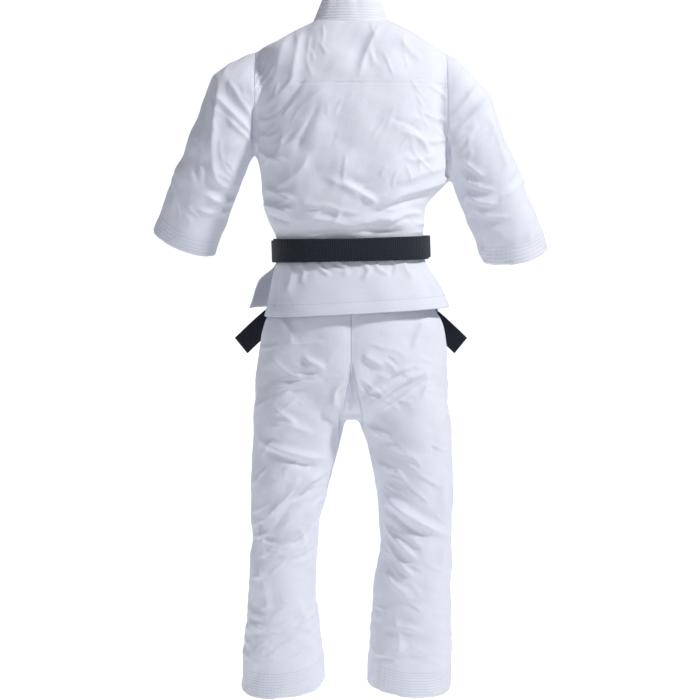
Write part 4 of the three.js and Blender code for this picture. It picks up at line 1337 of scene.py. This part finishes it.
def make_weave():
    """Threads in x, y and z: the height is the largest of three products of sines, one for each pair of axes,
    with the threads bent a little by noise. Slub is slow unevenness between 0 and 1."""
    tree, given, result = new_group("weave", {"Threads": 700.0}, ["Height", "Slub"])
    place = tree.nodes.new("ShaderNodeTexCoord").outputs["Object"]
    apart = tree.nodes.new("ShaderNodeSeparateXYZ")
    tree.links.new(place, apart.inputs[0])
    bend = math_node(tree, "MULTIPLY", noise_node(tree, place, 60.0), 1.6)
    pitch = math_node(tree, "MULTIPLY", given.outputs["Threads"], math.pi)
    waves = []
    for axis in range(3):
        turn = math_node(tree, "ADD", math_node(tree, "MULTIPLY", apart.outputs[axis], pitch), bend)
        waves.append(math_node(tree, "SINE", turn))
    across = [math_node(tree, "MULTIPLY", waves[a], waves[b]) for a, b in ((0, 2), (1, 2), (0, 1))]
    top = math_node(tree, "MAXIMUM", math_node(tree, "MAXIMUM", across[0], across[1]), across[2])
    tree.links.new(top, result.inputs["Height"])
    slub = math_node(tree, "MULTIPLY", noise_node(tree, place, 9.0, 4.0), 0.6)
    slub = math_node(tree, "ADD", slub, math_node(tree, "MULTIPLY", noise_node(tree, place, 160.0, 2.0), 0.4))
    tree.links.new(slub, result.inputs["Slub"])
    return tree


def make_stitch_rows():
    """Rows at even distances from an edge, as far as Reach: the height dips at a row and is 1 halfway between.
    A row itself is broken into stitches. Thread is 1 where a stitch lies on top."""
    tree, given, result = new_group(
        "stitch_rows",
        {"Distance": 1.0, "Pitch": 0.008, "Reach": 0.04, "Stitch": 380.0},
        ["Height", "Thread"],
    )
    place = tree.nodes.new("ShaderNodeTexCoord").outputs["Object"]
    apart = tree.nodes.new("ShaderNodeSeparateXYZ")
    tree.links.new(place, apart.inputs[0])
    half = math_node(tree, "MULTIPLY", given.outputs["Pitch"], 0.5)
    to_row = math_node(tree, "PINGPONG", given.outputs["Distance"], half)
    inside = math_node(tree, "LESS_THAN", given.outputs["Distance"], given.outputs["Reach"])
    rise = math_node(tree, "DIVIDE", to_row, half)
    rise = math_node(tree, "POWER", rise, 0.6)
    flat = math_node(tree, "SUBTRACT", 1.0, inside)
    height = math_node(tree, "ADD", math_node(tree, "MULTIPLY", rise, inside), flat)
    tree.links.new(height, result.inputs["Height"])
    path = math_node(tree, "ADD", math_node(tree, "ADD", apart.outputs[0], apart.outputs[1]), apart.outputs[2])
    turns = math_node(tree, "MULTIPLY", given.outputs["Stitch"], math.pi)
    dash = math_node(tree, "SINE", math_node(tree, "MULTIPLY", path, turns))
    dash = math_node(tree, "GREATER_THAN", dash, -0.35)
    thread = math_node(tree, "LESS_THAN", to_row, 0.0007)
    thread = math_node(tree, "MULTIPLY", math_node(tree, "MULTIPLY", thread, dash), inside)
    tree.links.new(thread, result.inputs["Thread"])
    return tree


weave_group, stitch_group = make_weave(), make_stitch_rows()


def placed(tree, group, **values):
    """A group node in a material, with its inputs set to numbers or linked to sockets."""
    node = tree.nodes.new("ShaderNodeGroup")
    node.node_tree = group
    for key, value in values.items():
        if isinstance(value, bpy.types.NodeSocket):
            tree.links.new(value, node.inputs[key])
        else:
            node.inputs[key].default_value = value
    return node.outputs


def attribute_node(tree, name):
    """The value of a piece's own attribute."""
    node = tree.nodes.new("ShaderNodeAttribute")
    node.attribute_name = name
    return node.outputs["Fac"]


def mixed(tree, how_much, low, high):
    """A colour between two colours."""
    node = tree.nodes.new("ShaderNodeMix")
    node.data_type = "RGBA"
    tree.links.new(how_much, node.inputs["Factor"])
    for socket, value in ((node.inputs["A"], low), (node.inputs["B"], high)):
        if isinstance(value, bpy.types.NodeSocket):
            tree.links.new(value, socket)
        else:
            socket.default_value = (*value, 1)
    return node.outputs["Result"]


# %% Canvas, in its plain and its stitched kinds
def canvas(name, low, high, hem_pitch=0.0, hem_reach=0.0, threads=620.0, weave_depth=0.00016):
    """Bleached canvas. Colour runs between low and high with the slub. Each stitch row is a dent in the bump and
    a slightly darker line. The seam has a groove, painted darker as shade, and a row of stitches beside it."""
    finish = bpy.data.materials.new(name)
    finish.use_nodes = True
    tree = finish.node_tree
    shader = tree.nodes["Principled BSDF"]
    weave = placed(tree, weave_group, Threads=threads)
    to_hem, pitch = attribute_node(tree, "hem"), max(hem_pitch, 0.001)
    hem = placed(tree, stitch_group, Distance=to_hem, Pitch=pitch, Reach=hem_reach)
    to_seam = attribute_node(tree, "seam")
    seam = placed(tree, stitch_group, Distance=to_seam, Pitch=0.012, Reach=0.009)
    groove = math_node(tree, "MULTIPLY", to_seam, 1 / 0.0010, clamp=True)
    tone = mixed(tree, weave["Slub"], low, high)
    stitched = math_node(tree, "MAXIMUM", hem["Thread"], seam["Thread"])
    tone = mixed(tree, math_node(tree, "MULTIPLY", stitched, 0.55), tone, tuple(0.72 * v for v in low))
    # Painted shade: within a millimetre of a seam the colour darkens towards 0.8 of low, as shade in the seam's
    # groove.
    sunk = math_node(tree, "MULTIPLY", math_node(tree, "SUBTRACT", 1.0, groove), 0.5)
    tone = mixed(tree, sunk, tone, tuple(0.8 * v for v in low))
    tree.links.new(tone, shader.inputs["Base Color"])
    rough = math_node(tree, "ADD", math_node(tree, "MULTIPLY", weave["Slub"], 0.12), 0.78)
    tree.links.new(rough, shader.inputs["Roughness"])
    shader.inputs["Specular IOR Level"].default_value = 0.25
    shader.inputs["Sheen Weight"].default_value = 0.12
    shader.inputs["Sheen Roughness"].default_value = 0.5
    height = math_node(tree, "MULTIPLY", weave["Height"], weave_depth)
    height = math_node(tree, "ADD", height, math_node(tree, "MULTIPLY", hem["Height"], 0.0005))
    height = math_node(tree, "ADD", height, math_node(tree, "MULTIPLY", seam["Height"], 0.0006))
    height = math_node(tree, "ADD", height, math_node(tree, "MULTIPLY", groove, 0.0004))
    height = math_node(tree, "ADD", height, math_node(tree, "MULTIPLY", weave["Slub"], 0.0002))
    bump = tree.nodes.new("ShaderNodeBump")
    bump.inputs["Distance"].default_value = 1.0
    tree.links.new(height, bump.inputs["Height"])
    tree.links.new(bump.outputs["Normal"], shader.inputs["Normal"])
    return finish


cloth_low, cloth_high = (0.74, 0.76, 0.835), (0.85, 0.864, 0.915)
plain_canvas = canvas("canvas_plain", cloth_low, cloth_high)
sleeve_canvas = canvas("canvas_sleeve", cloth_low, cloth_high, hem_pitch=0.008, hem_reach=0.0402)
leg_canvas = canvas("canvas_leg", cloth_low, cloth_high, hem_pitch=0.0055, hem_reach=0.0502)
skirt_canvas = canvas("canvas_skirt", cloth_low, cloth_high, hem_pitch=0.024, hem_reach=0.030)
band_low, band_high = (0.77, 0.79, 0.85), (0.87, 0.882, 0.92)
band_canvas = canvas("canvas_quilted", band_low, band_high, hem_pitch=0.00636, hem_reach=0.050)
casing_canvas = canvas("canvas_casing", cloth_low, cloth_high, hem_pitch=0.0042, hem_reach=0.0050)

# %% Belt cotton and cord
rib_pitch = 0.0045


def ribbed_cotton(name, low, high):
    """Black cotton with fine ribs across its width and rows of stitching along it. Both patterns read the
    strap's own measures: how far across it, and how far along."""
    finish = bpy.data.materials.new(name)
    finish.use_nodes = True
    tree = finish.node_tree
    shader = tree.nodes["Principled BSDF"]
    weave = placed(tree, weave_group, Threads=560.0)
    across = math_node(tree, "ABSOLUTE", attribute_node(tree, "across"))
    rows = placed(tree, stitch_group, Distance=across, Pitch=0.0052, Reach=0.0222, Stitch=300.0)
    ribs = math_node(tree, "MULTIPLY", attribute_node(tree, "along"), 2 * math.pi / rib_pitch)
    rib = math_node(tree, "SINE", ribs)
    tone = mixed(tree, weave["Slub"], low, high)
    tone = mixed(tree, math_node(tree, "MULTIPLY", rows["Thread"], 0.5), tone, tuple(1.7 * v for v in high))
    tree.links.new(tone, shader.inputs["Base Color"])
    rough = math_node(tree, "ADD", math_node(tree, "MULTIPLY", weave["Slub"], 0.15), 0.72)
    tree.links.new(rough, shader.inputs["Roughness"])
    shader.inputs["Specular IOR Level"].default_value = 0.3
    shader.inputs["Sheen Weight"].default_value = 0.1
    shader.inputs["Sheen Roughness"].default_value = 0.45
    height = math_node(tree, "MULTIPLY", rib, 0.00035)
    height = math_node(tree, "ADD", height, math_node(tree, "MULTIPLY", rows["Height"], 0.00025))
    height = math_node(tree, "ADD", height, math_node(tree, "MULTIPLY", weave["Height"], 0.00008))
    bump = tree.nodes.new("ShaderNodeBump")
    bump.inputs["Distance"].default_value = 1.0
    tree.links.new(height, bump.inputs["Height"])
    tree.links.new(bump.outputs["Normal"], shader.inputs["Normal"])
    return finish


belt_black = ribbed_cotton("belt_cotton", (0.007, 0.010, 0.016), (0.015, 0.020, 0.028))
cord_white = ribbed_cotton("cord_cotton", (0.62, 0.62, 0.60), (0.74, 0.74, 0.71))

# %% [markdown]
# ## Giving every piece its finish, its body and its size before sewing
# A piece rides on one body, or only has its placement baked into its mesh. Each sheet of cloth also says the size
# it was cut to, which is the pattern piece laid flat.

# %% Finish, thickness, motion and replaced solids
def skin_area(obj):
    """The area of one side of a sheet, in square metres."""
    flat = np.empty(len(obj.data.polygons), np.float32)
    obj.data.polygons.foreach_get("area", flat)
    return float(flat.sum())


def dressed(obj, finish, stands_for, thickness=None):
    """Gives a piece its finish and, for a sheet, its thickness, and hides the solids it stands for."""
    obj.data.materials.clear()
    obj.data.materials.append(finish)
    if thickness:
        thicken(obj, thickness)
    if stands_for:
        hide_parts(*stands_for)
    return obj


def bent(obj):
    """Bakes a piece's placement into its mesh and clears its transform."""
    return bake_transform(obj)


sheets = []


def cut_cloth(obj, finish, stands_for, flat, held, thickness=cloth_thickness):
    """A panel of cloth: dressed, and put on the list of sheets with the size of the rectangle it was cut from."""
    area = skin_area(obj)
    dressed(obj, finish, stands_for, thickness)
    sheets.append((obj, flat, held, area))
    return obj


band_thick = 0.0030
for name, node, flat in (
    ("jacket_back_panel", "jacket_back", (0.48, 0.50)),
    ("left_front_panel", "jacket_left_front", (0.34, 0.50)),
    ("right_front_panel", "jacket_right_front", (0.34, 0.50)),
):
    cut_cloth(panels[name], plain_canvas, [node], flat, "hung")
    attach(panels[name], "jacket")
cut_cloth(yoke_lining, plain_canvas, ["shoulder_yoke"], (0.36, 0.20), "hung")
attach(yoke_lining, "jacket")
cut_cloth(stand_band, band_canvas, ["collar_stand"], (0.34, 0.066), "stretched", 0.0034)
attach(stand_band, "jacket")
for side, name in ((1, "left"), (-1, "right")):
    node = name + "_lapel_band"
    cut_cloth(lapels[side], band_canvas, [node], (0.043, 0.52), "stretched", band_thick)
    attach(lapels[side], "jacket")
    sleeve = panels[name + "_sleeve_panel"]
    cut_cloth(sleeve, sleeve_canvas, [name + "_sleeve_cloth"], (0.46, 0.36), "hung")
    bent(sleeve)
    cuff = panels[name + "_cuff_turned_in"]
    node = name + "_cuff_facing"
    cut_cloth(cuff, sleeve_canvas, [node], (0.45, 0.042), "folded", facing_thickness)
    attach(cuff, name + "_sleeve")

    skirt_piece = left_skirt if side > 0 else right_skirt
    cut_cloth(skirt_piece, skirt_canvas, [name + "_front_skirt"], (0.36, 0.13), "hung")
    bent(skirt_piece)
    skirt_strip = skirt_bands[side]
    node = name + "_skirt_band"
    cut_cloth(skirt_strip, band_canvas, [node], (0.046, 0.17), "stretched", band_thick)
    bent(skirt_strip)

    tail = dressed(tails[side], belt_black, ["belt_tail_" + name])
    bent(tail)

    leg = left_leg if side > 0 else right_leg
    legs_nodes = ["trouser_left_leg", "trouser_seat"] if side > 0 else ["trouser_right_leg"]
    cut_cloth(leg, leg_canvas, legs_nodes, (0.62, 0.98), "hung")
    bent(leg)
    turned = hem_turned[side]
    node = "trouser_" + name + "_hem"
    cut_cloth(turned, leg_canvas, [node], (0.53, 0.052), "folded", facing_thickness)
    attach(turned, name + "_leg")

cut_cloth(back_skirt, skirt_canvas, ["back_skirt_cloth"], (0.48, 0.13), "hung")
bent(back_skirt)
node = "back_skirt_hem"
cut_cloth(back_skirt_hem, skirt_canvas, [node], (0.48, 0.028), "folded", facing_thickness)
bent(back_skirt_hem)
cut_cloth(gusset, leg_canvas, ["crotch_gusset"], (0.06, 0.36), "hung")
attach(gusset, "trousers")
cut_cloth(casing, casing_canvas, ["waistband"], (0.83, 0.043), "gathered")
node = "waistband_facing"
cut_cloth(casing_lining, casing_canvas, [node], (0.80, 0.042), "gathered", facing_thickness)
dressed(waist_cord, cord_white, ["drawstring"])
for obj in (casing, casing_lining, waist_cord):
    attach(obj, "trousers")
belt_nodes = ("belt_inner_wrap", "belt_outer_wrap", "belt_knot", "belt_knot")
for obj, node in zip((inner_wrap, outer_wrap, knot_over, knot_under), belt_nodes):
    dressed(obj, belt_black, [node])
    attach(obj, "jacket")

for obj, flat, held, area in sheets:
    share = area / (flat[0] * flat[1])
    print(f"{obj.name:28s} {area:.4f} m2, {share:.2f} of its rectangle")

# %% Sizes, and the end
low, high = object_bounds()
print("visual box", [round(v, 3) for v in (*low, *high)])
